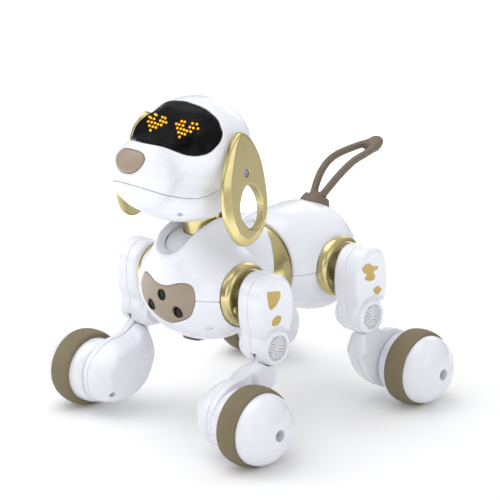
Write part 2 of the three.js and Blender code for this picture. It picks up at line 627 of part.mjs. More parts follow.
// axle, drum, tyre seat and hollow dome in one profile of [x, radius]
function wheelHub() {
  const endAngle = Math.acos(HUB_BORE_R / HUB_RIM_R);
  const dome = [0, 1, 2, 3, 4].map((k) => {
    const angle = (k / 4) * endAngle;
    const rise = (HUB_APEX_X - TYRE_X1) * Math.sin(angle) / Math.sin(endAngle);
    return [TYRE_X1 + rise, HUB_RIM_R * Math.cos(angle)];
  });
  return turnX([
    [60, 0], [60, AXLE_R], [DRUM_X0, AXLE_R], [DRUM_X0, 22.6], [74, 24.2],
    [DRUM_X1, DRUM_R], [DRUM_X1, TYRE_SEAT_R], [TYRE_X1, TYRE_SEAT_R],
    ...dome,
    [HUB_APEX_X - 2.6, HUB_BORE_R + 0.3], [111, 17], [TYRE_X1, 23.2], [78, 22.6],
    [78, 4.4], [112, 4.2], [112, 0],
  ], 18, WHEEL);
}
function tyre() {
  const middle = (TYRE_X0 + TYRE_X1) / 2;
  const [x0, x1] = [TYRE_X0 + 0.2, TYRE_X1 - 0.2];
  const boreR = TYRE_SEAT_R + GAP;
  return turnX([
    [x0, boreR], [x0, 27.9], [middle - 5, 29.3], [middle, WHEEL_R],
    [middle + 5, 29.3], [x1, 27.6], [x1, boreR],
  ], 18, WHEEL);
}

// ---------------------------------------------------------------- assembly
const dog = new THREE.Group();
dog.name = 'robot_dog_toy';
const frame = new THREE.Group();
frame.position.set(0, Y_SHIFT, 0);
dog.add(frame);

function put(name, geometry, surface) {
  const mesh = new THREE.Mesh(geometry, surface);
  mesh.name = name;
  frame.add(mesh);
}
function putSolids(pieces) {
  for (const [name, solid, surface] of pieces) put(name, toGeometry(solid), surface);
}

putSolids([
  ['head_upper_shell', headUpperShell(), WHITE],
  ['head_lower_shell', headLowerShell(), WHITE],
  ['visor_lens', visorLens(), BLACK],
  ['led_matrix_board', ledBoard(), PCB],
  ['nose_pad', nosePad(), TAUPE_TRIM],
]);
for (const [name, geometry, surface] of [['ear', ear(), GOLD], ['ear_screw', earScrew(), STEEL]]) {
  put(`${name}_left`, mirrored(geometry, 1, 1), surface);
  put(`${name}_right`, mirrored(geometry, -1, 1), surface);
}
putSolids([
  ['neck_shield', neckShield(), WHITE],
  ['neck_post', neckPost(), GOLD],
  ['waist_band', waistBand(), GOLD],
  ['chest_upper_shell', chestUpperShell(), WHITE],
  ['chest_lower_shell', chestLowerShell(), WHITE],
  ['chest_sensor_panel', sensorPanel(), TAUPE_TRIM],
  ['sensor_board', sensorBoard(), SENSOR],
  ['belly_pad', bellyPad(), TAUPE_TRIM],
  ['speaker', speaker(), INNER],
  ['rump_upper_shell', rumpUpperShell(), WHITE],
  ['rump_lower_shell', rumpLowerShell(), WHITE],
  ['battery_cover', batteryCover(), WHITE],
  ['battery_pack', batteryPack(), INNER],
  ['power_switch', powerSwitch(), SENSOR],
  ['tail_mount', tailMount(), TAIL],
  ['tail_loop', tailLoop(), TAIL],
  ['front_hip_gearbox', hipGearbox(-HIP_Y), INNER],
  ['rear_hip_gearbox', hipGearbox(HIP_Y), INNER],
  ['main_board', mainBoard(), PCB],
]);

const legPieces = [
  ['hip_ring', hipRing(), GOLD],
  ['thigh_outer', thighOuter(), WHITE],
  ['thigh_inner', thighInner(), WHITE],
  ['knee_grille', kneeGrille(), GOLD],
  ['shank_outer', shankOuter(), WHITE],
  ['shank_inner', shankInner(), WHITE],
  ['wheel_hub', wheelHub(), WHITE],
  ['tyre', tyre(), TAUPE],
].map(([name, solid, surface]) => [name, toGeometry(solid), surface]);
const corners = [
  ['front_left', 1, -1], ['front_right', -1, -1], ['rear_left', 1, 1], ['rear_right', -1, 1],
];
for (const [corner, signX, signY] of corners) {
  for (const [name, geometry, surface] of legPieces) {
    put(`${corner}_${name}`, mirrored(geometry, signX, signY), surface);
  }
}

export default dog;
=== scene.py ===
# Robot dog toy on four wheels: white covers, gold trim, smoked visor with amber heart eyes.
# Shapes are worked out in millimetres in a local frame: origin on the ground midway between
# the wheel axles, +x the dog's left, -y the way it faces, +z up. make() moves them to the
# row frame in metres.
import math

import bpy
import numpy as np
from mathutils import Matrix, Vector


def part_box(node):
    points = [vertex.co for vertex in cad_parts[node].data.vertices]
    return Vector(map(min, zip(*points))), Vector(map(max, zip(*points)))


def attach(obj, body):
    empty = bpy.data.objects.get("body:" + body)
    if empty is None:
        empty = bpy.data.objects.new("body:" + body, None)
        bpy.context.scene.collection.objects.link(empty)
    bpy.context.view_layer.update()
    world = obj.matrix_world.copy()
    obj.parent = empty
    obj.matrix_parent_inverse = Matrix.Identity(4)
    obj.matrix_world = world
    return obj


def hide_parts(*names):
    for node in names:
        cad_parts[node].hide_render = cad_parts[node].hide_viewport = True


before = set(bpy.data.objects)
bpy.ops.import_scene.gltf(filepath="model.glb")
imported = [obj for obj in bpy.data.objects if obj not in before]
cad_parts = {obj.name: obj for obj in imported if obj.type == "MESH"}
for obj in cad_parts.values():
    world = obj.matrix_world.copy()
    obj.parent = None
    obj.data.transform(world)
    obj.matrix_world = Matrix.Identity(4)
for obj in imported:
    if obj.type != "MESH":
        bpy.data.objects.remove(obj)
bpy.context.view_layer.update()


def box_middle(name):
    low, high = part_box(name)
    return (low + high) / 2


# y of the local origin in the row frame, mm
ORIGIN_Y = 500.0 * (box_middle("front_left_tyre").y + box_middle("rear_left_tyre").y)
DETAIL = 1.0

SHELL = 2.4                 # thickness of the moulded covers
SEAM = 0.11                 # half the gap between two covers that meet
BODY_Z = 110.0              # axis of the waist band, and parting plane of the chest
RUMP_SPLIT_Z = 109.5
NECK_Y = -52.0
NECK_RADIUS = 13.5
NECK_OPENING = 15.3         # half width of the way through the chest for the neck
HIP_Y, HIP_Z = 52.0, 110.5  # rear hip axis; the front one is at -HIP_Y
KNEE = (52.2, 77.0)         # y, z in leg axes
AXLE = (90.6, 30.0)         # y, z in leg axes
LEG_SPLIT_X = 66.0          # parting plane of the thigh and shank covers
SIDES = (("left", 1), ("right", -1))


# ---------------------------------------------------------------- signed distances
# Every form takes x, y, z arrays and returns a distance, negative inside.


def unit(vector):
    vector = np.asarray(vector, float)
    return vector / np.linalg.norm(vector)


def ellipsoid(x, y, z, centre, radii):
    x, y, z = x - centre[0], y - centre[1], z - centre[2]
    scaled = np.sqrt((x / radii[0]) ** 2 + (y / radii[1]) ** 2 + (z / radii[2]) ** 2)
    slope = np.sqrt(
        (x / radii[0] ** 2) ** 2 + (y / radii[1] ** 2) ** 2 + (z / radii[2] ** 2) ** 2
    ) + 1e-9
    return scaled * (scaled - 1) / slope


def capsule(x, y, z, start, end, start_radius, end_radius):
    span = np.subtract(end, start)
    x, y, z = x - start[0], y - start[1], z - start[2]
    part = np.clip((x * span[0] + y * span[1] + z * span[2]) / (span @ span), 0, 1)
    away = np.sqrt(
        (x - part * span[0]) ** 2 + (y - part * span[1]) ** 2 + (z - part * span[2]) ** 2
    )
    return away - (start_radius + (end_radius - start_radius) * part)


def circle(across, along, centre, radius):
    """Distance to a circle in any two coordinates, endless along the third."""
    return np.sqrt((across - centre[0]) ** 2 + (along - centre[1]) ** 2) - radius


def join(first, second, blend):
    """Union with a fillet about as wide as blend."""
    part = np.clip(0.5 + 0.5 * (second - first) / blend, 0, 1)
    return second + (first - second) * part - blend * part * (1 - part)


def clip(first, second, blend):
    """Intersection with a rounded edge."""
    return -join(-first, -second, blend)


def cut(solid, tool, blend):
    """The solid less the tool, with a rounded edge."""
    return clip(solid, -tool, blend)


def slab(x, low, high):
    return np.abs(x - (low + high) / 2) - (high - low) / 2


def plate(outline, x, low, high, edge):
    """Outline extruded from low to high along x, its edges rounded by edge."""
    side, face = outline + edge, slab(x, low, high) + edge
    corner = np.sqrt(np.maximum(side, 0) ** 2 + np.maximum(face, 0) ** 2)
    return np.minimum(np.maximum(side, face), 0) + corner - edge


def about_axis(x, y, z, centre, axis):
    """Distance along an axis through centre, and distance from it."""
    x, y, z = x - centre[0], y - centre[1], z - centre[2]
    along = x * axis[0] + y * axis[1] + z * axis[2]
    return along, np.sqrt(np.maximum(x * x + y * y + z * z - along * along, 1e-9))


def bore(x, y, z, centre, axis, radius, depth):
    """Blind hole on both sides of the body, opening along axis at centre."""
    along, away = about_axis(np.abs(x), y, z, centre, axis)
    return np.maximum(away - radius, -along - depth)


def boss(x, y, z, centre, spread):
    """Extra thickness of a cover round a screw hole."""
    away = np.sqrt((np.abs(x) - centre[0]) ** 2 + (y - centre[1]) ** 2 + (z - centre[2]) ** 2)
    return 3.0 * np.exp(-((away / spread) ** 2))


# ---------------------------------------------------------------- outlines


def closed_curve(points, count):
    """Smooth closed curve through 2-D points, as count samples evenly spaced along it."""
    knots = np.asarray(points, float)
    total = len(knots)
    path = []
    for i in range(total):
        before, start, end, after = (knots[(i + k) % total] for k in (-1, 0, 1, 2))
        span_in, span, span_out = (
            max(np.linalg.norm(b - a), 1e-6)
            for a, b in ((before, start), (start, end), (end, after))
        )
        slope_in = (end - before) / (span_in + span) * span
        slope_out = (after - start) / (span + span_out) * span
        for t in np.linspace(0, 1, 24, endpoint=False):
            path.append(
                (2 * t**3 - 3 * t**2 + 1) * start + (t**3 - 2 * t**2 + t) * slope_in
                + (-2 * t**3 + 3 * t**2) * end + (t**3 - t**2) * slope_out
            )
    path = np.array(path)
    steps = np.linalg.norm(np.roll(path, -1, 0) - path, axis=1)
    length = np.concatenate([[0], np.cumsum(steps)])
    wanted = np.linspace(0, length[-1], count, endpoint=False)
    loop = np.vstack([path, path[:1]])
    return np.stack([np.interp(wanted, length, loop[:, k]) for k in (0, 1)], 1)


def mirrored(half):
    """Closes a half outline that starts and ends on the middle line."""
    return list(half) + [(-x, z) for x, z in reversed(half[1:-1])]


class Outline:
    """Signed distance to a smooth closed outline, looked up from a fine grid."""

    def __init__(self, points, count=260, step=0.35, margin=14.0):
        self.points = closed_curve(points, count)
        low, high = self.points.min(0) - margin, self.points.max(0) + margin
        self.low, self.step = low, step
        columns, rows = [int(v) for v in np.ceil((high - low) / step) + 1]
        first = low[0] + step * np.arange(columns)
        second = low[1] + step * np.arange(rows)
        spots = np.stack(np.meshgrid(first, second, indexing="ij"), -1).reshape(-1, 2)
        nearest = np.full(len(spots), 1e9)
        inside = np.zeros(len(spots), bool)
        for start, end in zip(self.points, np.roll(self.points, -1, 0)):
            edge, offset = end - start, spots - start
            part = np.clip((offset @ edge) / (edge @ edge), 0, 1)
            away = offset - part[:, None] * edge
            nearest = np.minimum(nearest, (away * away).sum(1))
            spans = (start[1] > spots[:, 1]) != (end[1] > spots[:, 1])
            if edge[1] != 0:
                crossing_at = edge[0] * (spots[:, 1] - start[1]) / edge[1] + start[0]
                inside ^= spans & (spots[:, 0] < crossing_at)
        self.grid = (np.sqrt(nearest) * np.where(inside, -1, 1)).reshape(columns, rows)

    def __call__(self, first, second):
        grid, near, beyond = self.grid, [], []
        for k, place in enumerate((first, second)):
            size = grid.shape[k]
            near.append(np.clip((place - self.low[k]) / self.step, 0, size - 1.001))
            end = self.low[k] + self.step * (size - 1)
            beyond.append(np.maximum(0, np.maximum(self.low[k] - place, place - end)))
        i, j = (np.floor(place).astype(int) for place in near)
        part_i, part_j = near[0] - i, near[1] - j
        value = (
            grid[i, j] * (1 - part_i) * (1 - part_j) + grid[i + 1, j] * part_i * (1 - part_j)
            + grid[i, j + 1] * (1 - part_i) * part_j + grid[i + 1, j + 1] * part_i * part_j
        )
        return value + beyond[0] + beyond[1]


# ---------------------------------------------------------------- forms to meshes
# A mesh is a pair: points in local mm, and faces as a quad array or a list of tuples.

CORNERS = [(i, j, k) for i in (0, 1) for j in (0, 1) for k in (0, 1)]


def gradient(form, x, y, z, reach):
    return np.stack([
        form(x + reach, y, z) - form(x - reach, y, z),
        form(x, y + reach, z) - form(x, y - reach, z),
        form(x, y, z + reach) - form(x, y, z - reach),
    ], 1) / (2 * reach)


def project(form, points, cell, steps):
    """Moves points on to the surface of the form."""
    for _ in range(steps):
        x, y, z = points.T
        dist = form(x, y, z)
        slope = gradient(form, x, y, z, 0.04)
        steepness = np.maximum((slope * slope).sum(1), 0.05)
        move = np.clip(dist / steepness, -0.5 * cell, 0.5 * cell)
        points = points - slope * move[:, None]
    return points


def surface_net(field, cell, origin):
    """One point in each grid cell that the surface crosses, and the quads between them."""
    inside = field < 0
    cols, rows, layers = (size - 1 for size in field.shape)
    filled = sum(
        inside[i:cols + i, j:rows + j, k:layers + k].astype(np.uint8) for i, j, k in CORNERS
    )
    crossed_cells = np.nonzero((filled > 0) & (filled < 8))
    cells = np.stack(crossed_cells, 1)
    index = np.full(filled.shape, -1, np.int64)
    index[crossed_cells] = np.arange(len(cells))
    total, hits = np.zeros((len(cells), 3)), np.zeros(len(cells))
    for corner in CORNERS:
        for axis in range(3):
            if corner[axis]:
                continue
            other = tuple(v + (k == axis) for k, v in enumerate(corner))
            here, there = (field[tuple((cells + end).T)] for end in (corner, other))
            crossed = (here < 0) != (there < 0)
            part = np.where(crossed, here / np.where(crossed, here - there, 1), 0)
            place = np.tile(np.array(corner, float), (len(cells), 1))
            place[:, axis] += part
            total += place * crossed[:, None]
            hits += crossed
    points = (total / hits[:, None] + cells) * cell + origin

    quads = []
    for axis in range(3):
        side, other_side = (axis + 1) % 3, (axis + 2) % 3
        lower, upper = [slice(1, -1)] * 3, [slice(1, -1)] * 3
        lower[axis], upper[axis] = slice(0, -1), slice(1, None)
        before, after = inside[tuple(lower)], inside[tuple(upper)]
        for reverse, mask in ((False, before & ~after), (True, ~before & after)):
            place = np.array(np.nonzero(mask))
            place[side] += 1
            place[other_side] += 1
            quad = []
            for step, other_step in ((-1, -1), (0, -1), (0, 0), (-1, 0)):
                cell_place = place.copy()
                cell_place[side] += step
                cell_place[other_side] += other_step
                quad.append(index[tuple(cell_place)])
            quad = np.stack(quad, 1)
            quads.append(quad[:, ::-1] if reverse else quad)
    quads = np.concatenate(quads)
    return points, quads[(quads >= 0).all(1)]


def largest_body(points, quads, edges):
    label = np.arange(len(points))
    while True:
        before = label.copy()
        np.minimum.at(label, edges[:, 0], label[edges[:, 1]])
        np.minimum.at(label, edges[:, 1], label[edges[:, 0]])
        label = label[label]
        if (before == label).all():
            break
    keep = label == np.bincount(label).argmax()
    renumbered = np.cumsum(keep) - 1
    return points[keep], renumbered[quads[keep[quads].all(1)]]


def surface(form, low, high, cell, relax=2):
    """Closed, evened-out quad mesh of a form within the box from low to high."""
    cell = cell * DETAIL
    # the small shift keeps grid planes off flat faces
    xs, ys, zs = [np.arange(low[k] - 0.013, high[k] + cell, cell) for k in range(3)]
    field = form(xs[:, None, None], ys[None, :, None], zs[None, None, :])
    field = np.broadcast_to(field, (len(xs), len(ys), len(zs))).astype(np.float32)
    field = np.where(np.abs(field) < 1e-5, 1e-5, field)
    # the border of the box counts as outside, so the mesh closes
    for axis in range(3):
        for end in (0, -1):
            border = [slice(None)] * 3
            border[axis] = end
            border = tuple(border)
            field[border] = np.maximum(field[border], 0.05)
    points, quads = surface_net(field, cell, np.array([xs[0], ys[0], zs[0]]))
    points = project(form, points, cell, 3)

    edges = np.concatenate([quads[:, [k, (k + 1) % 4]] for k in range(4)])
    start, end = edges.T
    total = len(points)
    degree = np.bincount(start, minlength=total) + np.bincount(end, minlength=total)
    for _ in range(relax):
        around = np.stack([
            np.bincount(start, points[end, k], total) + np.bincount(end, points[start, k], total)
            for k in range(3)
        ], 1)
        evened = points * 0.5 + 0.5 * around / np.maximum(degree, 1)[:, None]
        points = project(form, evened, cell, 1)
    return largest_body(points, quads, edges)


def crossing(form, x, z, outside, inside, steps):
    """y at which the surface lies between an outside and an inside y, by halving."""
    for _ in range(steps):
        middle = 0.5 * (outside + inside)
        if form(np.array([x]), np.array([middle]), np.array([z]))[0] < 0:
            inside = middle
        else:
            outside = middle
    return 0.5 * (outside + inside)


def front_y(form, x, z, start, end):
    """y of the first surface met on the way from start to end."""
    ys = np.linspace(start, end, 1200)
    dist = form(np.full_like(ys, x), ys, np.full_like(ys, z))
    k = int(np.argmax(dist < 0))
    return crossing(form, x, z, ys[max(k - 1, 0)], ys[k], 30)


def reversed_faces(faces):
    if isinstance(faces, np.ndarray):
        return faces[:, ::-1].copy()
    return [tuple(reversed(face)) for face in faces]


def outward(points, faces):
    """Turns the faces outwards, judged by the signed volume."""
    volume = 0.0
    for face in faces:
        ring = points[list(face)]
        for k in range(1, len(face) - 1):
            volume += np.dot(ring[0], np.cross(ring[k], ring[k + 1]))
    return points, (reversed_faces(faces) if volume < 0 else faces)


def lathe(profile, axis, centre, count):
    """Revolves (along, radius) points about an axis through centre. Radius 0 is a pole;
    a profile without poles is closed into a ring."""
    points, rings, faces = [], [], []
    for along, radius in profile:
        first = len(points)
        if radius <= 1e-6:
            points.append((along, 0.0, 0.0))
        else:
            for i in range(count):
                angle = 2 * math.pi * i / count
                points.append((along, radius * math.cos(angle), radius * math.sin(angle)))
        rings.append(range(first, len(points)))
    for ring, following in zip(rings, rings[1:] + rings[:1]):
        if len(ring) == 1 and len(following) == 1:
            continue
        for i in range(count):
            j = (i + 1) % count
            if len(ring) == 1:
                faces.append((ring[0], following[i], following[j]))
            elif len(following) == 1:
                faces.append((ring[i], following[0], ring[j]))
            else:
                faces.append((ring[i], following[i], following[j], ring[j]))
    points = np.roll(np.array(points), "xyz".index(axis), axis=1) + np.asarray(centre, float)
    return outward(points, faces)


def fillet(profile, radius):
    """Rounds the inner corners of an open profile; radius is a number or one per point."""
    points = [np.array(point, float) for point in profile]
    rounded = [points[0]]
    for i in range(1, len(points) - 1):
        before, corner, after = points[i - 1:i + 2]
        back, ahead = before - corner, after - corner
        back_length, ahead_length = np.linalg.norm(back), np.linalg.norm(ahead)
        wanted = radius[i] if isinstance(radius, list) else radius
        reach = min(wanted, 0.48 * back_length, 0.48 * ahead_length)
        straight = abs(back @ ahead / (back_length * ahead_length)) > 0.9995
        if reach < 0.02 or straight:
            rounded.append(corner)
            continue
        start = corner + back / back_length * reach
        end = corner + ahead / ahead_length * reach
        for k in range(5):
            t = k / 4
            rounded.append((1 - t) ** 2 * start + 2 * t * (1 - t) * corner + t**2 * end)
    return [tuple(point) for point in rounded + [points[-1]]]


def placed(mesh, side, facing=1):
    """Mirrors a mesh made for the left (+x) and, for legs, with the foot towards +y."""
    points, faces = mesh
    points = np.asarray(points, float) * np.array([side, facing, 1.0])
    return points, (faces if side * facing > 0 else reversed_faces(faces))


def make(name, mesh, material, body, replaces=None, sharp=None):
    """Smooth-shaded object on a body; edges over sharp degrees stay crisp."""
    points, faces = mesh
    points = ((np.asarray(points, float) + (0, ORIGIN_Y, 0)) / 1000).astype(np.float32)
    data = bpy.data.meshes.new(name)
    if isinstance(faces, np.ndarray):
        data.vertices.add(len(points))
        data.vertices.foreach_set("co", points.ravel())
        data.loops.add(faces.size)
        data.loops.foreach_set("vertex_index", faces.astype(np.int32).ravel())
        data.polygons.add(len(faces))
        loop_starts = np.arange(0, faces.size, faces.shape[1], dtype=np.int32)
        data.polygons.foreach_set("loop_start", loop_starts)
        data.update(calc_edges=True)
    else:
        data.from_pydata(
            [tuple(map(float, point)) for point in points], [],
            [list(map(int, face)) for face in faces],
        )
    data.validate()
    data.polygons.foreach_set("use_smooth", np.full(len(data.polygons), True))
    if sharp:
        data.set_sharp_from_angle(angle=math.radians(sharp))
    data.materials.append(material)
    made = bpy.data.objects.new(name, data)
    bpy.context.scene.collection.objects.link(made)
    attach(made, body)
    if replaces:
        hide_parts(replaces)
    return made


# ---------------------------------------------------------------- materials


def srgb(*channels):
    """Linear RGBA from 0-255 channels."""
    return tuple(
        c / 255 / 12.92 if c <= 10 else ((c / 255 + 0.055) / 1.055) ** 2.4 for c in channels
    ) + (1.0,)


def new_material(name):
    material = bpy.data.materials.new(name)
    material.use_nodes = True
    tree = material.node_tree
    shader = next(n for n in tree.nodes if n.type == "BSDF_PRINCIPLED")
    coord = node(tree, "ShaderNodeTexCoord").outputs["Object"]
    return material, tree, shader, coord


def node(tree, kind, **settings):
    made = tree.nodes.new(kind)
    for key, value in settings.items():
        setattr(made, key, value)
    return made


def noise(tree, coord, scale, detail, rough=0.5):
    made = node(tree, "ShaderNodeTexNoise")
    made.inputs["Scale"].default_value = scale
    made.inputs["Detail"].default_value = detail
    made.inputs["Roughness"].default_value = rough
    tree.links.new(coord, made.inputs["Vector"])
    return made.outputs["Fac"]


def remap(tree, value, target, source=(0.3, 0.7), kind="LINEAR"):
    """Maps the source range on to the target range."""
    made = node(tree, "ShaderNodeMapRange", interpolation_type=kind)
    made.inputs["From Min"].default_value, made.inputs["From Max"].default_value = source
    made.inputs["To Min"].default_value, made.inputs["To Max"].default_value = target
    tree.links.new(value, made.inputs["Value"])
    return made.outputs["Result"]


def maths(tree, operation, *values):
    made = node(tree, "ShaderNodeMath", operation=operation)
    for socket, value in zip(made.inputs, values):
        if isinstance(value, bpy.types.NodeSocket):
            tree.links.new(value, socket)
        else:
            socket.default_value = value
    return made.outputs[0]


def tint(tree, coord, scale, first, second):
    """Colour that drifts between two linear RGBA values."""
    drift = remap(tree, noise(tree, coord, scale=scale, detail=2.0), target=(0.0, 1.0))
    mix = node(tree, "ShaderNodeMix", data_type="RGBA")
    colours = [socket for socket in mix.inputs if socket.type == "RGBA"]
    colours[0].default_value, colours[1].default_value = first, second
    tree.links.new(drift, next(s for s in mix.inputs if s.name == "Factor" and s.type == "VALUE"))
    return next(socket for socket in mix.outputs if socket.type == "RGBA")


def add_grain(tree, shader, coord, strength, distance, **noise_settings):
    bump = node(tree, "ShaderNodeBump")
    bump.inputs["Strength"].default_value = strength
    bump.inputs["Distance"].default_value = distance
    tree.links.new(noise(tree, coord, **noise_settings), bump.inputs["Height"])
    tree.links.new(bump.outputs["Normal"], shader.inputs["Normal"])


def moulded(name, first, second, roughness, bump=0.02, grain=900.0, metal=0.0,
            coat=0.0, coat_rough=0.1, specular=0.5):
    """Finish with colour drift between two sRGB colours, uneven roughness and a grain."""
    material, tree, shader, coord = new_material(name)
    colour = tint(tree, coord, scale=21.0, first=srgb(*first), second=srgb(*second))
    tree.links.new(colour, shader.inputs["Base Color"])
    patches = noise(tree, coord, scale=102.0, detail=4.0, rough=0.6)
    patches = remap(tree, patches, target=roughness, source=(0.35, 0.65))
    tree.links.new(patches, shader.inputs["Roughness"])
    shader.inputs["Metallic"].default_value = metal
    shader.inputs["Specular IOR Level"].default_value = specular
    shader.inputs["Coat Weight"].default_value = coat
    shader.inputs["Coat Roughness"].default_value = coat_rough
    add_grain(tree, shader, coord, strength=bump, distance=0.0004,
              scale=grain, detail=3.0, rough=0.6)
    return material


WHITE = moulded("white_gloss_plastic", (232, 234, 240), (230, 232, 239),
                roughness=(0.235, 0.275), coat=0.3, bump=0.010)
WHITE_SATIN = moulded("white_satin_plastic", (222, 224, 230), (218, 220, 227),
                      roughness=(0.38, 0.48), bump=0.03)
# grey for the screw heads and hub plug: partly their own grey, partly painted shade of the holes
# they sit in
GREY_AND_RECESS_SHADE = moulded("grey_plastic_and_painted_recess_shade", (178, 180, 190), (168, 170, 181),
               roughness=(0.35, 0.45), bump=0.03)
GOLD = moulded("champagne_gold", (206, 192, 140), (199, 185, 132),
               roughness=(0.22, 0.29), metal=1.0, bump=0.006, grain=1600.0)
GOLD_FLAT = moulded("champagne_gold_flat", (186, 174, 132), (181, 168, 126),
                    roughness=(0.40, 0.47), metal=0.85, bump=0.012, grain=1800.0)
GOLD_INK = moulded("gold_print", (196, 172, 108), (182, 156, 92),
                   roughness=(0.36, 0.46), metal=0.7, bump=0.03, grain=2400.0)
TAUPE = moulded("taupe_satin_plastic", (158, 142, 124), (150, 134, 116),
                roughness=(0.34, 0.42), coat=0.12, coat_rough=0.25)
TYRE_RUBBER = moulded("taupe_tyre_rubber", (129, 118, 92), (119, 108, 84),
                      roughness=(0.60, 0.70), bump=0.10, grain=2600.0, specular=0.3)
TAIL_RUBBER = moulded("taupe_tail_rubber", (117, 105, 89), (108, 96, 81),
                      roughness=(0.50, 0.60), bump=0.08, grain=2200.0, specular=0.35)
STEEL = moulded("turned_steel", (176, 178, 186), (150, 152, 162),
                roughness=(0.25, 0.4), metal=1.0, bump=0.03, grain=3000.0)
DARK = moulded("dark_plastic", (30, 30, 32), (24, 24, 26), roughness=(0.5, 0.62), bump=0.05)
LENS = moulded("black_lens", (10, 9, 9), (6, 5, 5),
               roughness=(0.22, 0.3), bump=0.004, specular=0.25)
BLACK = moulded("matt_black_board", (7, 7, 8), (4, 4, 5),
                roughness=(0.85, 0.95), bump=0.0, specular=0.03)
BOARD = moulded("green_board", (40, 105, 66), (32, 90, 55), roughness=(0.35, 0.5), bump=0.1)
CELL = moulded("battery_wrap", (70, 95, 150), (60, 84, 136), roughness=(0.25, 0.35), bump=0.05)


def visor_material():
    """Smoked lens, half clear in a window in front of the eyes."""
    window = (("X", 0.0, 0.031), ("Z", 0.2365, 0.0105))     # axis, middle, half size, m
    fade = 0.0015                                           # soft border each way, m
    clearness = 0.5
    material, tree, shader, coord = new_material("smoked_visor")
    colour = tint(tree, coord, scale=30, first=srgb(6, 6, 7), second=srgb(4, 4, 5))
    tree.links.new(colour, shader.inputs["Base Color"])
    patches = noise(tree, coord, scale=80, detail=3.0)
    patches = remap(tree, patches, target=(0.30, 0.34), source=(0.35, 0.65))
    tree.links.new(patches, shader.inputs["Roughness"])
    shader.inputs["Specular IOR Level"].default_value = 0.11
    add_grain(tree, shader, coord, strength=0.01, distance=0.0003, scale=500, detail=2.0)
    clear = node(tree, "ShaderNodeBsdfTransparent")
    clear.inputs["Color"].default_value = (1, 1, 1, 1)
    blend = node(tree, "ShaderNodeMixShader")
    split = node(tree, "ShaderNodeSeparateXYZ")
    tree.links.new(coord, split.inputs[0])
    masks = []
    for axis, middle, half in window:
        offset = maths(tree, "SUBTRACT", split.outputs[axis], middle)
        offset = maths(tree, "ABSOLUTE", offset)
        masks.append(remap(tree, offset, target=(clearness, 0.0),
                           source=(half - fade, half + fade), kind="SMOOTHSTEP"))
    see_through = maths(tree, "MINIMUM", *masks)
    # back faces are fully clear, so the inner face adds no second reflection
    geometry = node(tree, "ShaderNodeNewGeometry")
    see_through = maths(tree, "MAXIMUM", see_through, geometry.outputs["Backfacing"])
    tree.links.new(see_through, blend.inputs[0])
    tree.links.new(shader.outputs[0], blend.inputs[1])
    tree.links.new(clear.outputs[0], blend.inputs[2])
    output = next(n for n in tree.nodes if n.type == "OUTPUT_MATERIAL")
    tree.links.new(blend.outputs[0], output.inputs["Surface"])
    return material


def dot_material():
    """Glowing amber."""
    material, tree, shader, coord = new_material("amber_dots")
    colour = tint(tree, coord, scale=500, first=srgb(255, 186, 14), second=srgb(255, 170, 4))
    tree.links.new(colour, shader.inputs["Base Color"])
    tree.links.new(colour, shader.inputs["Emission Color"])
    glow = remap(tree, noise(tree, coord, scale=900, detail=2.0), target=(2.3, 2.8))
    tree.links.new(glow, shader.inputs["Emission Strength"])
    shader.inputs["Roughness"].default_value = 0.4
    return material


VISOR = visor_material()
AMBER = dot_material()

# ---------------------------------------------------------------- head

# swellings of the temples, so the visor wraps round the face: height, centre, spread
TEMPLES = (
    (3.7, (25, -80, 235), (17, 15, 13)),
    (2.8, (30, -87, 229), (12, 12, 11)),
)
# visor edge, left half, seen from the front: x, z
VISOR_HALF = [
    (0, 251.7), (5.2, 251.4), (13.1, 250.4), (20.2, 248.6), (26.3, 246.0), (31.7, 242.6),
    (36.1, 238.5), (39.5, 234.3), (41.7, 229.8), (42.2, 226.2), (41.2, 223), (38.2, 221.3),
    (34.5, 220.7), (29.8, 221.2), (24.9, 222.7), (19.9, 224.7), (14.7, 226.9), (9.7, 228.4),
    (4.7, 229.0), (0, 229.1),
]
# nose edge, left half, seen from the front: x, z
NOSE_HALF = [
    (0, 224.4), (6, 224.0), (10.9, 222.5), (13.9, 219.6), (13.9, 216.6), (12.6, 214.2),
    (10.2, 211.5), (5.3, 209), (0, 208.5),
]
# parting line of the jaw from the side, dipping below the cheek: y, z
MOUTH = np.array([
    (-140, 206), (-130, 202.3), (-127, 200.9), (-121.7, 198.2), (-116.4, 195.8), (-110, 193.2),
    (-104.8, 191.4), (-95.9, 189), (-88, 188.3), (-80.2, 189.3), (-74.2, 191.2), (-66, 194.3),
    (-56, 197.6), (-45, 199.8), (-30, 200.8), (-10, 201), (0, 201),
])
JAW_SCREW = (24.9, -97.1, 176.1)
JAW_SCREW_AXIS = unit((0.72, -0.62, -0.31))


def head_form(x, y, z):
    form = join(
        ellipsoid(x, y, z, centre=(0, -55.2, 215.9), radii=(46.3, 35.6, 37.9)),
        ellipsoid(x, y, z, centre=(0, -73.2, 215.6), radii=(44.2, 26.8, 21.4)), 12)
    side = np.abs(x)
    for height, centre, spread in TEMPLES:
        form = form - height * np.exp(-(
            ((side - centre[0]) / spread[0]) ** 2 + ((y - centre[1]) / spread[1]) ** 2
            + ((z - centre[2]) / spread[2]) ** 2
        ))
    muzzle = ellipsoid(x, y, z, centre=(0, -110.9, 204.2), radii=(28.6, 16.8, 25.0))
    jaw = ellipsoid(x, y, z, centre=(0, -72.9, 183.4), radii=(39.1, 35.9, 19.5))
    return join(join(form, muzzle, 20), jaw, 12)


def around_head(x, y, z):
    """Direction from a point inside the head, as mm round and mm up at radius 42."""
    return (42 * np.arctan2(x, -(y + 50)),
            42 * np.arctan2(z - 210, np.sqrt(x**2 + (y + 50) ** 2)))


visor_line = Outline([
    around_head(x, crossing(head_form, x, z, outside=-130.0, inside=-52.0, steps=40), z)
    for x, z in mirrored(VISOR_HALF)
])
nose_line = Outline(mirrored(NOSE_HALF), step=0.25)

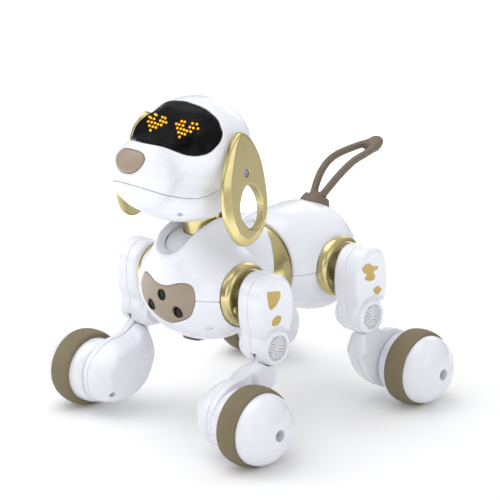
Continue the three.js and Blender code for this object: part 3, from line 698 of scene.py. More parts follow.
mouth_y = np.arange(-140, 0.1, 0.5)
mouth_z = np.interp(mouth_y, MOUTH[:, 0], MOUTH[:, 1])
for _ in range(30):     # evens out the corners of the table
    mouth_z[1:-1] = 0.5 * mouth_z[1:-1] + 0.25 * (mouth_z[:-2] + mouth_z[2:])


def above_mouth(y, z):
    """Distance above the parting line; 0.93 allows for its slope."""
    return (z - np.interp(y, mouth_y, mouth_z)) * 0.93


def visor_edge(x, y, z):
    return visor_line(*around_head(x, y, z))


def head_upper(x, y, z):
    form = head_form(x, y, z)
    solid = clip(form, SEAM - above_mouth(y, z), 0.4)
    solid = cut(solid, np.maximum(visor_edge(x, y, z) - 0.25, y + 60), 0.6)
    solid = cut(solid, np.maximum(nose_line(x, z) - 0.2, y + 100), 0.7)
    return np.maximum(solid, -(form + SHELL))


def head_lower(x, y, z):
    form = head_form(x, y, z)
    solid = clip(form, above_mouth(y, z) + SEAM, 0.4)
    neck_hole = np.maximum(circle(x, y, (0, NECK_Y), NECK_RADIUS + 0.9), z - 185)
    solid = cut(solid, neck_hole, 1.5)
    solid = cut(solid, bore(x, y, z, JAW_SCREW, JAW_SCREW_AXIS, radius=2.0, depth=1.7), 0.5)
    return np.maximum(solid, -(form + SHELL + boss(x, y, z, JAW_SCREW, spread=5.0)))


def visor(x, y, z):
    form = head_form(x, y, z)
    solid = clip(form - 0.12, np.maximum(visor_edge(x, y, z), y + 60.4), 1.3)
    return np.maximum(solid, -(form + 2.0))


def eye_board(x, y, z):
    """Curved black board close behind the visor."""
    form = head_form(x, y, z)
    solid = np.maximum(np.maximum(form + 4.1, visor_edge(x, y, z) + 0.9), y + 61.4)
    return np.maximum(solid, -(form + 6.1))


def nose(x, y, z):
    form = head_form(x, y, z)
    solid = clip(form - 1.5, np.maximum(nose_line(x, z) + 0.05, y + 100), 2.6)
    return np.maximum(solid, -(form + 1.8))


make("head_upper_cover", surface(head_upper, (-50, -131, 184), (50, -14, 258), cell=0.8),
     WHITE, "head", "head_upper_shell")
make("jaw_cover", surface(head_lower, (-47, -131, 160), (47, -15, 207), cell=0.8),
     WHITE, "head", "head_lower_shell")
make("visor", surface(visor, (-46, -124, 217), (46, -58, 255), cell=0.65),
     VISOR, "head", "visor_lens")
make("eye_board", surface(eye_board, (-45, -120, 218), (45, -58, 252), cell=0.8),
     BLACK, "head", "led_matrix_board")
make("nose", surface(nose, (-17, -134, 206), (17, -110, 228), cell=0.5),
     TAUPE, "head", "nose_pad")

EYES = ((-14.6, 236.3), (16.4, 236.3))      # eye middles: x, z
# dots of one heart, from the eye middle: x, z
HEART = [
    (-7.6, 3.5), (-4.4, 3.5), (-10.6, 1.5), (-7.3, 1.5), (-3.1, 1.5), (3.0, 3.4), (6.3, 3.2),
    (-6.8, -0.6), (-2.95, -0.5), (0.6, -0.6), (3.95, -0.9), (3.8, 1.35), (6.9, 1.1),
    (10.0, 0.9), (-3.05, -2.7), (0.55, -2.85), (3.9, -3.0), (7.25, -1.0), (0.2, -5.3),
]
DOT_RINGS = ((0.92, -0.3), (0.92, 0.5), (0.78, 0.85), (0.45, 1.05))     # radius, height
DOT_TOP, DOT_FOOT = 1.12, 0.3
DOT_SIDES = 20


def eye_dots():
    """Domed dots that stand on the eye board in two hearts."""
    points, faces = [], []
    places = [(eye_x + x, eye_z + z) for eye_x, eye_z in EYES for x, z in HEART]
    for x, z in places:
        place = np.array([x, front_y(eye_board, x, z, -125, -60), z])
        normal = unit(gradient(head_form, *place[:, None], 0.2)[0])
        across = unit(np.cross(normal, (0, 0, 1.0)))
        upward = np.cross(across, normal)
        base = len(points)
        for radius, height in DOT_RINGS:
            for i in range(DOT_SIDES):
                angle = 2 * math.pi * i / DOT_SIDES
                points.append(place + across * radius * math.cos(angle)
                              + upward * radius * math.sin(angle) + normal * height)
        points.append(place + normal * DOT_TOP)
        points.append(place - normal * DOT_FOOT)
        top = base + 4 * DOT_SIDES
        last = base + 3 * DOT_SIDES
        for k in range(3):
            ring = base + k * DOT_SIDES
            for i in range(DOT_SIDES):
                j = (i + 1) % DOT_SIDES
                faces.append((ring + i, ring + DOT_SIDES + i, ring + DOT_SIDES + j, ring + j))
        for i in range(DOT_SIDES):
            j = (i + 1) % DOT_SIDES
            faces.append((last + i, top, last + j))
            faces.append((base + i, base + j, top + 1))
    return outward(np.array(points), faces)


def jaw_screw():
    profile = [(0.9, 0), (0.9, 0.7), (0.35, 0.9), (0.35, 1.75), (-0.6, 1.9), (-0.6, 0)]
    points, faces = lathe(fillet(profile, 0.15), "x", (0, 0, 0), 32)
    across = unit(np.cross(JAW_SCREW_AXIS, (0, 0, 1.0)))
    axes = (JAW_SCREW_AXIS, across, np.cross(JAW_SCREW_AXIS, across))
    turned = sum(points[:, k:k + 1] * axis for k, axis in enumerate(axes))
    return turned + np.array(JAW_SCREW) - JAW_SCREW_AXIS * 1.25, faces


make("eye_dots", eye_dots(), AMBER, "head")
for side, sign in SIDES:
    # the screw is grey partly for its own colour, partly as painted shade of its hole
    make(f"jaw_screw_{side}", placed(jaw_screw(), sign), GREY_AND_RECESS_SHADE, "head")

# ---------------------------------------------------------------- ears: stepped gold plates

EAR_X, EAR_Y, EAR_Z = 53.2, -61.5, 206.0    # screw through the ear
EAR_TILT = math.atan(0.165)
EAR_OUTER = 4.2                             # outer face, from the plate's own middle
# ear edge and window from the side: y, z
EAR_EDGE = [
    (-61, 235), (-53.4, 229), (-48.3, 220), (-45.2, 209), (-44.1, 196), (-44.1, 184),
    (-45.7, 174), (-49.4, 165), (-55.4, 158.2), (-63.3, 154.4), (-70.3, 154.8),
    (-76.3, 159.5), (-81.4, 168.8), (-83.3, 177.8), (-83.1, 189.6), (-81.8, 201.2),
    (-76.4, 214.8), (-69.2, 227.9),
]
EAR_WINDOW = [
    (-59.8, 197.4), (-65.6, 194.4), (-69.4, 188.4), (-71.4, 182.6), (-71.2, 175.2),
    (-68.0, 169.2), (-61.8, 164.6), (-56.0, 165.6), (-50.9, 170.6), (-48.8, 179.2),
    (-49.6, 186.6), (-53.6, 194.0),
]
ear_line = Outline(EAR_EDGE, count=320, step=0.3)
ear_window = Outline(EAR_WINDOW, count=200, step=0.25)


def ear_edge(y, z):
    """Distance to the ear edge, stretched about (-64, 195) and grown by 0.4."""
    return ear_line(-64 + (y + 64) / 1.055, 195 + (z - 195) / 1.008) - 0.4


def bevel_width(y, z):
    """Width of the bevel round the flat field, broad at the front and bottom."""
    return np.maximum(np.interp(y, [-80, -58], [6.4, 1.0]), np.interp(z, [162, 176], [5.5, 1.0]))


def ear(x, y, z):
    """Plate in ear axes: x across its thickness, + outwards."""
    edge = ear_edge(y, z)
    solid = plate(edge, x, -3.4, EAR_OUTER, edge=2.2)
    fall = np.clip(edge + bevel_width(y, z), 0, 9) * 0.42
    solid = clip(solid, (x - EAR_OUTER + fall) * 0.92, 0.7)
    solid = cut(solid, ear_window(y, z), 1.0)
    return cut(solid, circle(y, z, (EAR_Y, EAR_Z), 2.75), 0.5)


def tilted(points):
    """From ear axes to the left side of the head."""
    x, z = points[:, 0], points[:, 2] - EAR_Z
    cos, sin = math.cos(EAR_TILT), math.sin(EAR_TILT)
    return np.stack([EAR_X + x * cos - z * sin, points[:, 1], EAR_Z + x * sin + z * cos], 1)


ear_points, ear_quads = surface(ear, (-4.4, -87.5, 151.5), (5.4, -40, 238.5), cell=0.55)
quad_x, quad_y, quad_z = ear_points[ear_quads].mean(1).T
ear_field = (ear_edge(quad_y, quad_z) < 0.3 - bevel_width(quad_y, quad_z)) & (quad_x > 3.9)
EAR_PIN = [(-14, 0), (-14, 2.2), (2.2, 2.2), (2.2, 2.45), (3.2, 2.45), (3.2, 1.5), (2.4, 1.3),
           (2.4, 0)]
pin_points, pin_faces = lathe(fillet(EAR_PIN, 0.2), "x", (0, EAR_Y, EAR_Z), 48)

for side, sign in SIDES:
    plate_object = make(f"{side}_ear", placed((tilted(ear_points), ear_quads), sign),
                        GOLD, f"{side}_ear", f"ear_{side}")
    plate_object.data.materials.append(GOLD_FLAT)
    plate_object.data.polygons.foreach_set("material_index", ear_field.astype(np.int32))
    make(f"ear_pin_{side}", placed((tilted(pin_points), pin_faces), sign),
         STEEL, "head", f"ear_screw_{side}", sharp=40)

# ---------------------------------------------------------------- neck

NECK_HINGE = (-56.0, 120.0)     # y, z
SHIELD_RADIUS = 32.5
SHIELD_HALF_WIDTH = 14.8
SHIELD_HALF_THICKNESS = 0.9


def neck_shield(x, y, z):
    """Strip of a cylinder about the neck hinge, round at its front end."""
    middle = SHIELD_RADIUS - SHIELD_HALF_THICKNESS
    band = np.abs(circle(y, z, NECK_HINGE, middle)) - SHIELD_HALF_THICKNESS
    straight = np.maximum(np.abs(x) - SHIELD_HALF_WIDTH, np.maximum(-70.5 - y, y + 44))
    plan = join(circle(x, y, (0, -70.5), SHIELD_HALF_WIDTH), straight, 0.3)
    angle = np.arctan2(z - NECK_HINGE[1], -(y - NECK_HINGE[0]))
    wedge = np.maximum(math.radians(15) - angle, angle - math.radians(115)) * 30
    solid = clip(clip(band, plan, 0.8), wedge, 0.5)
    return cut(solid, circle(x, y, (0, NECK_Y), NECK_RADIUS + 0.4), 0.3)


NECK_TUBE = [(141.0, 4.0), (141.0, NECK_RADIUS), (172.5, NECK_RADIUS), (172.5, 4.0)]
NECK_STEM = [(117, 0), (117, 4.0), (141.5, 4.0), (141.5, 0)]
HINGE_PIN = [(-15, 0), (-15, 3.2), (15, 3.2), (15, 0)]
make("neck_shield_cover", surface(neck_shield, (-16, -90, 118), (16, -30, 156), cell=0.6),
     WHITE_SATIN, "neck", "neck_shield")
make("neck_tube", lathe(fillet(NECK_TUBE, 0.5), "z", (0, NECK_Y, 0), 112),
     GOLD, "neck", "neck_post", sharp=50)
make("neck_stem", lathe(fillet(NECK_STEM, 0.4), "z", (0, NECK_Y, 0), 40), STEEL, "neck")
make("neck_hinge_pin", lathe(fillet(HINGE_PIN, 0.5), "x", (0, *NECK_HINGE), 40), STEEL, "neck")

# ---------------------------------------------------------------- chest

# neck opening, left half, seen from the front: x, z
OPENING_HALF = [
    (0, 140.4), (7.5, 141.8), (12.8, 146.2), (15.2, 152.5), (15.5, 160), (15.5, 175),
    (8, 186), (0, 188),
]
# sensor panel, left half, seen from the front: x, z
PANEL_HALF = [
    (0, 117.1), (7.7, 118.2), (15.5, 121), (24, 121), (28, 116.7), (29, 109.3), (27, 102),
    (22.5, 96), (13.3, 91), (4, 87.8), (0, 87.4),
]
LENSES = ((0, 109.8), (14, 98.8), (-14, 98.8))      # sensor lenses: x, z
opening_line = Outline(mirrored(OPENING_HALF), step=0.3, margin=20)
panel_line = Outline(mirrored(PANEL_HALF), step=0.25)

# outside of the waist band: y, radius
BAND_Y = [-24, -17, -10, -2, 5, 9.1]
BAND_R = [28.6, 31.8, 34, 35.2, 35.2, 34.8]
CHEST_SCREW = (33.4, -76.6, 86.7)
CHEST_SCREW_AXIS = unit((0.75, -0.45, -0.55))


def band_radius(y):
    return np.interp(y, BAND_Y, BAND_R)


def chest_form(x, y, z):
    return join(
        ellipsoid(x, y, z, centre=(0, -52.2, 108.8), radii=(54.7, 42.1, 40.8)),
        capsule(x, y, z, (0, -52, 120), (0, -64.2, 135.5), 27, 27.1), 12)


def shoulder_form(x, y, z):
    """Chest with the shoulders that rise on both sides of the neck."""
    return join(chest_form(x, y, z),
                capsule(x, y, z, (0, -52, 128), (0, -47.5, 145), 25, 23.5), 9)


def hip_pocket(x, y, z, hip_y):
    return np.maximum(circle(y, z, (hip_y, HIP_Z), 24.35), 42.6 - np.abs(x))


def chest_skin(x, y, z):
    """Outer form with the raised collar round the neck opening."""
    form = shoulder_form(x, y, z)
    collar = clip(form - 0.8, np.maximum(opening_line(x, z) - 6.0, y + 44), 4.0)
    return join(form, collar, 1.5)


def chest_cuts(x, y, z, form):
    """Cuts shared by both covers: waist band, hips and sensor panel."""
    waist = np.maximum(circle(x, z, (0, BODY_Z), band_radius(y) + 0.45), -32 - y)
    solid = cut(form, waist, 1.0)
    solid = cut(solid, hip_pocket(x, y, z, -HIP_Y), 0.9)
    return cut(solid, np.maximum(panel_line(x, z) - 0.2, y + 72), 0.8)


def chest_upper(x, y, z):
    form = chest_skin(x, y, z)
    solid = chest_cuts(x, y, z, form)
    round_neck = np.maximum(circle(x, y, (0, NECK_Y), NECK_OPENING), 150 - z)
    opening = np.maximum(np.minimum(opening_line(x, z), round_neck), y + 33.5)
    solid = cut(solid, opening, 0.9)
    solid = clip(solid, BODY_Z + SEAM - z, 0.35)
    solid = np.maximum(solid, -(form + SHELL))
    # walls of the neck opening reach down to the shield
    from_hinge = circle(y, z, NECK_HINGE, 0)
    wall = np.maximum(np.maximum(form + 0.4, opening_line(x, z) - 2.6),
                      np.maximum(26 - from_hinge, y + 34.5))
    wall = np.maximum(wall, -np.maximum(np.abs(x) - NECK_OPENING, from_hinge - 33.0))
    return np.minimum(solid, cut(wall, opening, 1.2))


def belly_pad_edge(x, y):
    return np.sqrt(x**2 + (np.clip(y, -63.5, -50) - y) ** 2) - 7


def chest_lower(x, y, z):
    form = chest_form(x, y, z)
    solid = clip(chest_cuts(x, y, z, form), z - (BODY_Z - SEAM), 0.35)
    screw_hole = bore(x, y, z, CHEST_SCREW, CHEST_SCREW_AXIS, radius=2.6, depth=2.1)
    solid = cut(solid, screw_hole, 0.6)
    solid = cut(solid, np.maximum(belly_pad_edge(x, y) - 0.3, z - 90), 0.6)
    return np.maximum(solid, -(form + SHELL + boss(x, y, z, CHEST_SCREW, spread=6.0)))


def sensor_panel(x, y, z):
    form = chest_form(x, y, z)
    solid = clip(form + 0.05, np.maximum(panel_line(x, z) + 0.1, y + 72), 0.9)
    for lens in LENSES:
        solid = cut(solid, circle(x, z, lens, 4.5), 0.5)
    return np.maximum(solid, -(form + 2.2))


def belly_pad(x, y, z):
    form = chest_form(x, y, z)
    solid = clip(form - 1.8, belly_pad_edge(x, y), 1.6)
    solid = clip(solid, 67.0 - z, 0.8)
    return np.maximum(solid, -(form + 2.0))


def sensor_lenses():
    """Black cups with a stepped rim and a domed lens, flush with the chest."""
    profile = fillet([(9.5, 0), (9.5, 4.3), (0.7, 4.3), (1.0, 3.7), (1.5, 3.55), (1.5, 3.0),
                      (1.15, 1.6), (1.0, 0)], 0.15)
    points, faces = [], []
    for x, z in LENSES:
        place = (x, front_y(chest_form, x, z, -100, -60), z)
        cup_points, cup_faces = lathe(profile, "y", place, 48)
        base = len(points)
        points.extend(cup_points)
        faces.extend(tuple(base + i for i in face) for face in cup_faces)
    return np.array(points), faces


make("chest_upper_cover", surface(chest_upper, (-56, -98, 108), (56, -4, 166), cell=0.85),
     WHITE, "torso", "chest_upper_shell")
make("chest_lower_cover", surface(chest_lower, (-56, -97, 66), (56, -4, 111), cell=0.85),
     WHITE, "torso", "chest_lower_shell")
make("sensor_panel", surface(sensor_panel, (-32, -98, 85), (32, -70, 123), cell=0.6),
     TAUPE, "torso", "chest_sensor_panel")
make("belly_touch_pad", surface(belly_pad, (-9, -76, 64), (9, -40, 80), cell=0.55),
     TAIL_RUBBER, "torso", "belly_pad")
make("sensor_lenses", sensor_lenses(), LENS, "torso", "sensor_board")

# ---------------------------------------------------------------- waist

# section of the gold ring: y, radius
WAIST_RING = [
    (17, 30.0), (17, 31.6), (13, 33.2), (11.4, 34.3), (9.8, 34.9), (8.4, 35.05), (5, 35.15),
    (1.5, 35.3), (-2, 35.15), (-6, 34.75), (-10, 34.0), (-14, 32.9), (-17, 31.85),
    (-21, 30.1), (-24, 28.6), (-24, 26.4), (-17, 29.2), (-10, 31.3), (-2, 32.6), (5, 31.9),
    (9, 30.0),
]
# rear edge of the chest covers, further back at the top than at the sides
EDGE_Z = [70, 100, 110, 116, 124.4, 132.5, 139.6, 143.7, 146]
EDGE_Y = [-13, -12, -11.2, -10.1, -7.8, -5, -0.6, 4.2, 6.0]
EDGE_START_Y = -27.0
EDGE_STEPS = 120
EDGE_GAP = 0.13 / 34    # angle kept free at each side seam


def edge_section(angle):
    """Closed section of the cover edge over the waist band: (y, radius) points."""
    end = -5.0
    for _ in range(8):      # settles where the edge line meets the band
        height = BODY_Z + band_radius(end) * math.sin(angle)
        end = 0.5 * end + 0.5 * np.interp(height, EDGE_Z, EDGE_Y)
    ys = np.linspace(EDGE_START_Y, end - 0.5, 14)
    base = np.interp(ys, [EDGE_START_Y] + BAND_Y, [26.6] + BAND_R)
    lip = band_radius(end)
    return (list(zip(ys, base + 0.95))
            + [(end - 0.2, lip + 0.88), (end, lip + 0.62), (end, lip + 0.3),
               (end - 0.2, lip + 0.12)]
            + list(zip(ys[::-1], base[::-1] + 0.1)))


def rear_edge(start, end):
    """Strip of cover from one angle to another about the waist axis."""
    points, faces, rows = [], [], []
    for i in range(EDGE_STEPS + 1):
        angle = start + (end - start) * i / EDGE_STEPS
        section = edge_section(angle)
        rows.append(range(len(points), len(points) + len(section)))
        points += [(radius * math.cos(angle), y, BODY_Z + radius * math.sin(angle))
                   for y, radius in section]
    count = len(rows[0])
    for row, following in zip(rows, rows[1:]):
        for k in range(count):
            j = (k + 1) % count
            faces.append((row[k], row[j], following[j], following[k]))
    faces.append(tuple(reversed(rows[0])))
    faces.append(tuple(rows[-1]))
    return outward(np.array(points), faces)


make("waist_ring", lathe(WAIST_RING, "y", (0, 0, BODY_Z), 160),
     GOLD, "torso", "waist_band", sharp=45)
make("chest_upper_rear_edge", rear_edge(EDGE_GAP, math.pi - EDGE_GAP), WHITE, "torso", sharp=50)
make("chest_lower_rear_edge", rear_edge(-math.pi + EDGE_GAP, -EDGE_GAP), WHITE, "torso", sharp=50)

# ---------------------------------------------------------------- rump

RUMP_SCREW = (36.0, 23.1, 93.0)
RUMP_SCREW_AXIS = unit((0.86, -0.05, -0.5))
TAIL_LEAN = 0.45            # of the tail mount, backwards from upright, radians
TAIL_AXIS = np.array([0, math.sin(TAIL_LEAN), math.cos(TAIL_LEAN)])
TAIL_PLACE = np.array([0, 72.0, 150.2])
# battery door from below: x, y
DOOR = [
    (-17, 46), (-16, 43.7), (-14, 43), (0, 43), (14, 43), (16, 43.7), (17, 46), (17, 60),
    (17, 74), (16, 76.3), (14, 77), (0, 77), (-14, 77), (-16, 76.3), (-17, 74), (-17, 60),
]
door_line = Outline(DOOR, step=0.3)


def rump_form(x, y, z):
    return join(
        ellipsoid(x, y, z, centre=(0, 60, 109.3), radii=(50, 34.1, 43.6)),
        ellipsoid(x, y, z, centre=(0, 30, 113.7), radii=(43.2, 39.6, 38.9)), 16)


def rump_cuts(x, y, z, form):
    """Flat front end and hip pockets, shared by both covers."""
    return cut(clip(form, 9.2 - y, 0.7), hip_pocket(x, y, z, HIP_Y), 0.9)


def rump_upper(x, y, z):
    form = rump_form(x, y, z)
    solid = clip(rump_cuts(x, y, z, form), RUMP_SPLIT_Z + SEAM - z, 0.35)
    along, away = about_axis(x, y, z, TAIL_PLACE, TAIL_AXIS)
    solid = cut(solid, np.maximum(away - 6.4, -16 - along), 0.4)
    return np.maximum(solid, -(form + SHELL))


def rump_lower(x, y, z):
    form = rump_form(x, y, z)
    solid = clip(rump_cuts(x, y, z, form), z - (RUMP_SPLIT_Z - SEAM), 0.35)
    solid = cut(solid, bore(x, y, z, RUMP_SCREW, RUMP_SCREW_AXIS, radius=1.4, depth=1.0), 0.5)
    solid = cut(solid, np.maximum(door_line(x, y) - 0.25, z - 90), 0.6)
    # slot in the underside, ahead of the door
    slot = np.maximum(np.maximum(np.abs(x) - 2.7, np.abs(y - 27) - 5.3), z - 95)
    return np.maximum(cut(solid, slot, 0.6), -(form + SHELL))


def battery_door(x, y, z):
    form = rump_form(x, y, z)
    solid = clip(form, door_line(x, y), 0.8)
    solid = clip(solid, 66.8 - z, 0.6)
    groove = ellipsoid(x, y, z, centre=(0, 71.5, 67.4), radii=(6.5, 2.2, 1.5))
    solid = cut(solid, groove, 0.6)
    for pocket_y in (50, 66):       # round pockets near both long edges
        pocket = circle(np.abs(x), y, (12.5, pocket_y), 1.9)
        solid = cut(solid, np.maximum(pocket, z - 69.6), 0.4)
    return np.maximum(solid, -(form + 2.0))


def tail_collar(x, y, z):
    """Flared collar that follows the rump, on a plug that fills the tail hole."""
    along, away = about_axis(x, y, z, TAIL_PLACE, TAIL_AXIS)
    cone = (away - (9.7 + (4.6 - along) * 0.46)) * 0.9
    solid = clip(cone, np.maximum(along - 4.6, -12 - along), 0.8)
    solid = cut(solid, rump_form(x, y, z) - 0.12, 0.4)
    plug = np.maximum(away - 5.9, np.maximum(along - 4.2, -14 - along))
    return np.minimum(solid, plug)


make("rump_upper_cover", surface(rump_upper, (-52, 8, 108), (52, 96, 156), cell=0.85),
     WHITE, "torso", "rump_upper_shell")
make("rump_lower_cover", surface(rump_lower, (-52, 8, 64), (52, 96, 111), cell=0.85),
     WHITE, "torso", "rump_lower_shell")
make("battery_door", surface(battery_door, (-19, 41, 64), (19, 79, 82), cell=0.6),
     WHITE, "torso", "battery_cover")
make("tail_collar", surface(tail_collar, (-20, 46, 126), (20, 98, 166), cell=0.55),
     TAIL_RUBBER, "torso", "tail_mount")

# ---------------------------------------------------------------- tail
# Two strands part above the collar and meet again in a rounded paddle: x, y, z.

LEFT_STRAND = np.array([
    (4.2, 74.6, 154.2), (5.2, 76.6, 157.0), (6.8, 81.6, 162.2), (8.2, 89.0, 168.6),
    (8.8, 98.5, 174.6), (8.6, 109, 178.9), (7.6, 121, 181.2), (5.8, 131, 182.6),
    (3.6, 137, 183.6),
])
RIGHT_STRAND = np.array([
    (-4.2, 74.6, 154.2), (-5.4, 76.6, 157.4), (-7.6, 82.0, 163.6), (-9.4, 89.6, 171.2),
    (-10.2, 98.6, 177.2), (-9.8, 109, 181.0), (-8.2, 121, 183.4), (-6.0, 131, 185.2),
    (-3.6, 137, 186.0),
])


def spline(knots, count):
    """Open Catmull-Rom curve through the knots."""
    place = np.linspace(0, len(knots) - 1, count)
    first = np.clip(place.astype(int), 0, len(knots) - 2)
    t = (place - first)[:, None]
    before, start, end, after = (
        knots[np.clip(first + k, 0, len(knots) - 1)] for k in (-1, 0, 1, 2)
    )
    return 0.5 * (2 * start + (end - before) * t
                  + (2 * before - 5 * start + 4 * end - after) * t**2
                  + (3 * start - before - 3 * end + after) * t**3)


strand_paths = [spline(knots, 34) for knots in (LEFT_STRAND, RIGHT_STRAND)]


def strand(x, y, z, path, start_radius=3.1, end_radius=3.0):
    spans = len(path) - 1
    radii = [start_radius + (end_radius - start_radius) * k / spans for k in range(spans + 1)]
    solid = capsule(x, y, z, path[0], path[1], radii[0], radii[1])
    for k in range(1, spans):
        piece = capsule(x, y, z, path[k], path[k + 1], radii[k], radii[k + 1])
        solid = np.minimum(solid, piece)
    return solid


def tail(x, y, z):
    left, right = (strand(x, y, z, path) for path in strand_paths)
    # the paddle lies along the last rise of the strands
    lengthwise = (y - 140.4) * 0.82 + (z - 185.2) * 0.57
    upright = (z - 185.2) * 0.82 - (y - 140.4) * 0.57
    paddle = ellipsoid(x, lengthwise, upright, centre=(0, 0, 0), radii=(8.0, 8.6, 4.4))
    root = ellipsoid(x, y, z, centre=(0, 74.2, 154.6), radii=(7.8, 5.0, 2.6))
    solid = join(join(left, right, 1.6), paddle, 3.2)
    solid = join(solid, root, 2.0)
    along, _ = about_axis(x, y, z, TAIL_PLACE, TAIL_AXIS)
    return clip(solid, 4.75 - along, 0.3)


make("tail_strap", surface(tail, (-15, 66, 150), (15, 154, 193), cell=0.6),
     TAIL_RUBBER, "tail", "tail_loop")

# ---------------------------------------------------------------- CAD pieces inside the body

INSIDE = {
    "battery_pack": CELL, "speaker": DARK, "front_hip_gearbox": DARK,
    "rear_hip_gearbox": DARK, "main_board": BOARD, "power_switch": DARK,
}
for name, material in INSIDE.items():
    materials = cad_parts[name].data.materials
    materials.clear()
    materials.append(material)

# ---------------------------------------------------------------- thighs
# Leg shapes have +x outwards and +y the way the foot points; outlines are y, z.

THIGH = [
    (52, 131.6), (58.5, 130.4), (64, 126.8), (68.0, 121), (69.8, 113), (69.8, 104),
    (69.0, 95), (67.2, 89.2), (66.5, 86.6), (67.0, 82), (66.7, 77), (65, 70.5), (60, 64.8),
    (52.2, 62.6), (44.3, 64.8), (39.3, 71), (37.7, 77), (37.3, 82), (37.8, 86.4),
    (36.6, 89.6), (34.5, 96), (34.0, 106), (34.6, 114), (37.2, 121.7), (41.5, 127.8),
    (46.4, 130.8),
]
# main outer face: the thigh down to an arc round the knee, running out to the edge
FACE = [
    (52, 131.6), (58.5, 130.4), (64, 126.8), (68.0, 121), (69.8, 113), (70.2, 104),
    (70.6, 96), (70.9, 90), (70.6, 86.6), (67.6, 86.4), (63.5, 88.2), (58.8, 90.2),
    (54.5, 91.4), (50.8, 91.6), (46.3, 90.6), (41.7, 87.8), (37.9, 85.8), (35.0, 88.6),
    (34.5, 96), (34.0, 106), (34.6, 114), (37.2, 121.7), (41.5, 127.8), (46.4, 130.8),
]
thigh_line = Outline(THIGH, step=0.3)
face_line = Outline(FACE, step=0.3)
SWING_MIDDLE = math.radians(-65.4)      # direction of the shank from the knee
SWING_HALF = math.radians(50)


def knee_circle(y, z, radius):
    return circle(y, z, KNEE, radius)


def thigh_form(x, y, z):
    edge = thigh_line(y, z)
    base = plate(edge, x, 53, 77.0, edge=5.4) if False else plate(edge, x, 53, 77.0, 5.4)
    main = plate(np.maximum(face_line(y, z), edge), x, 57, 80.0, 4.6)
    knee = plate(knee_circle(y, z, 13.7), x, 60, 80, 2.8)
    inner_cap = plate(knee_circle(y, z, 12.4), x, 50.6, 60, 2.0)
    solid = join(join(base, main, 0.7), knee, 0.9)
    solid = join(solid, inner_cap, 1.2)
    return cut(solid, plate(knee_circle(y, z, 9.0), x, 40, 51.9, 0.8), 0.6)


def knee_mouth(x, y, z):
    """Wedge under the knee that lets the shank tongue swing."""
    angle = np.arctan2(z - KNEE[1], y - KNEE[0]) - SWING_MIDDLE
    angle = np.abs((angle + math.pi) % (2 * math.pi) - math.pi)
    away = knee_circle(y, z, 0)
    wedge = (angle - SWING_HALF) * np.maximum(away, 3)
    return np.maximum(np.minimum(wedge, away - 12.5), slab(x, 65.8, 71.0))


def thigh_outer(x, y, z):
    solid = clip(thigh_form(x, y, z), LEG_SPLIT_X + SEAM - x, 0.35)
    solid = cut(solid, np.maximum(knee_circle(y, z, 9.7), 76.8 - x), 0.5)
    solid = np.maximum(solid, -np.maximum(thigh_line(y, z) + SHELL, x - 73.8))
    return np.maximum(solid, -knee_mouth(x, y, z))


def thigh_inner(x, y, z):
    """Inner cover with the hip stub and the knee pin."""
    solid = clip(thigh_form(x, y, z), x - (LEG_SPLIT_X - SEAM), 0.35)
    solid = np.maximum(solid, -plate(thigh_line(y, z) + 2.3, x, 55.3, 90, 3.4))
    solid = np.maximum(solid, -knee_mouth(x, y, z))
    stub = plate(circle(y, z, (HIP_Y, HIP_Z), 5.0), x, 2, 56, 0.5)
    pin = plate(knee_circle(y, z, 3.0), x, 54, 74, 0.3)
    return np.minimum(np.minimum(solid, stub), pin)


# printed spots on the outer face, two to a leg
SPOTS = {
    "front": (
        [(63.3, 122.5), (57.5, 121.6), (51.2, 120.6), (50.0, 118.5), (50.1, 115.7),
         (54.3, 110.4), (59.6, 108.1), (61.8, 110.2), (62.8, 113.9), (63.9, 119.5)],
        [(54.3, 102.2), (50.6, 101.9), (49, 100.2), (50, 96.9), (52.6, 95.2), (55.4, 95),
         (58.0, 95.4), (59.0, 97.4), (58.4, 99.9)],
    ),
    "rear": (
        [(46.6, 120.9), (49.4, 119.2), (52.0, 117.6), (56.3, 117.0), (57.4, 115.5),
         (55.9, 114.0), (53.2, 113.6), (52.0, 112.6), (53.4, 110.6), (53.9, 108.4),
         (52.2, 106.6), (48.7, 106.4), (44.4, 107.8), (41.6, 110.1), (43.6, 111.6),
         (43.3, 113.1), (40.2, 115.0), (38.9, 117.7), (41.0, 120.4), (43.6, 121.4)],
        [(56.7, 101.0), (59.6, 99.2), (61.6, 96.6), (59.4, 94.8), (56.4, 93.9),
         (53.6, 95.8), (51.7, 98.5), (53.8, 100.2)],
    ),
}


def spot_mesh(points):
    """Thin printed film that lies on the outer face of the thigh."""
    line = Outline(points, count=120, step=0.2, margin=3)

    def film(x, y, z):
        form = thigh_form(x, y, z)
        return np.maximum(clip(form - 0.10, line(y, z), 0.12),
                          np.maximum(-(form + 0.7), 74 - x))

    low, high = line.points.min(0) - 1.2, line.points.max(0) + 1.2
    return surface(film, (76.5, *low), (81.0, *high), cell=0.3, relax=1)


# slots of the knee disc: ring radius, count, half length, turn
SLOT_RINGS = ((6.1, 18, 0.7, 0.0), (4.2, 12, 0.65, 0.2), (2.4, 7, 0.5, 0.1))
SLOT_HALF_WIDTH = 0.42


def knee_disc(x, y, z):
    """Slightly domed perforated disc."""
    away = knee_circle(y, z, 0)
    crown = 79.2 - 0.012 * away * away
    solid = clip(np.maximum(away - 7.5, 77.5 - x), x - crown, 0.5)
    angle = np.arctan2(z - KNEE[1], y - KNEE[0])
    for ring, count, half_length, turn in SLOT_RINGS:
        pitch = 2 * math.pi / count
        local = (angle + turn + pitch / 2) % pitch - pitch / 2
        outwards, sideways = away * np.cos(local) - ring, away * np.sin(local)
        slot = np.sqrt(np.maximum(np.abs(outwards) - half_length, 0) ** 2 + sideways * sideways)
        solid = np.maximum(solid, -(slot - SLOT_HALF_WIDTH))
    return np.maximum(solid, -(away - 0.5))


# ---------------------------------------------------------------- shanks

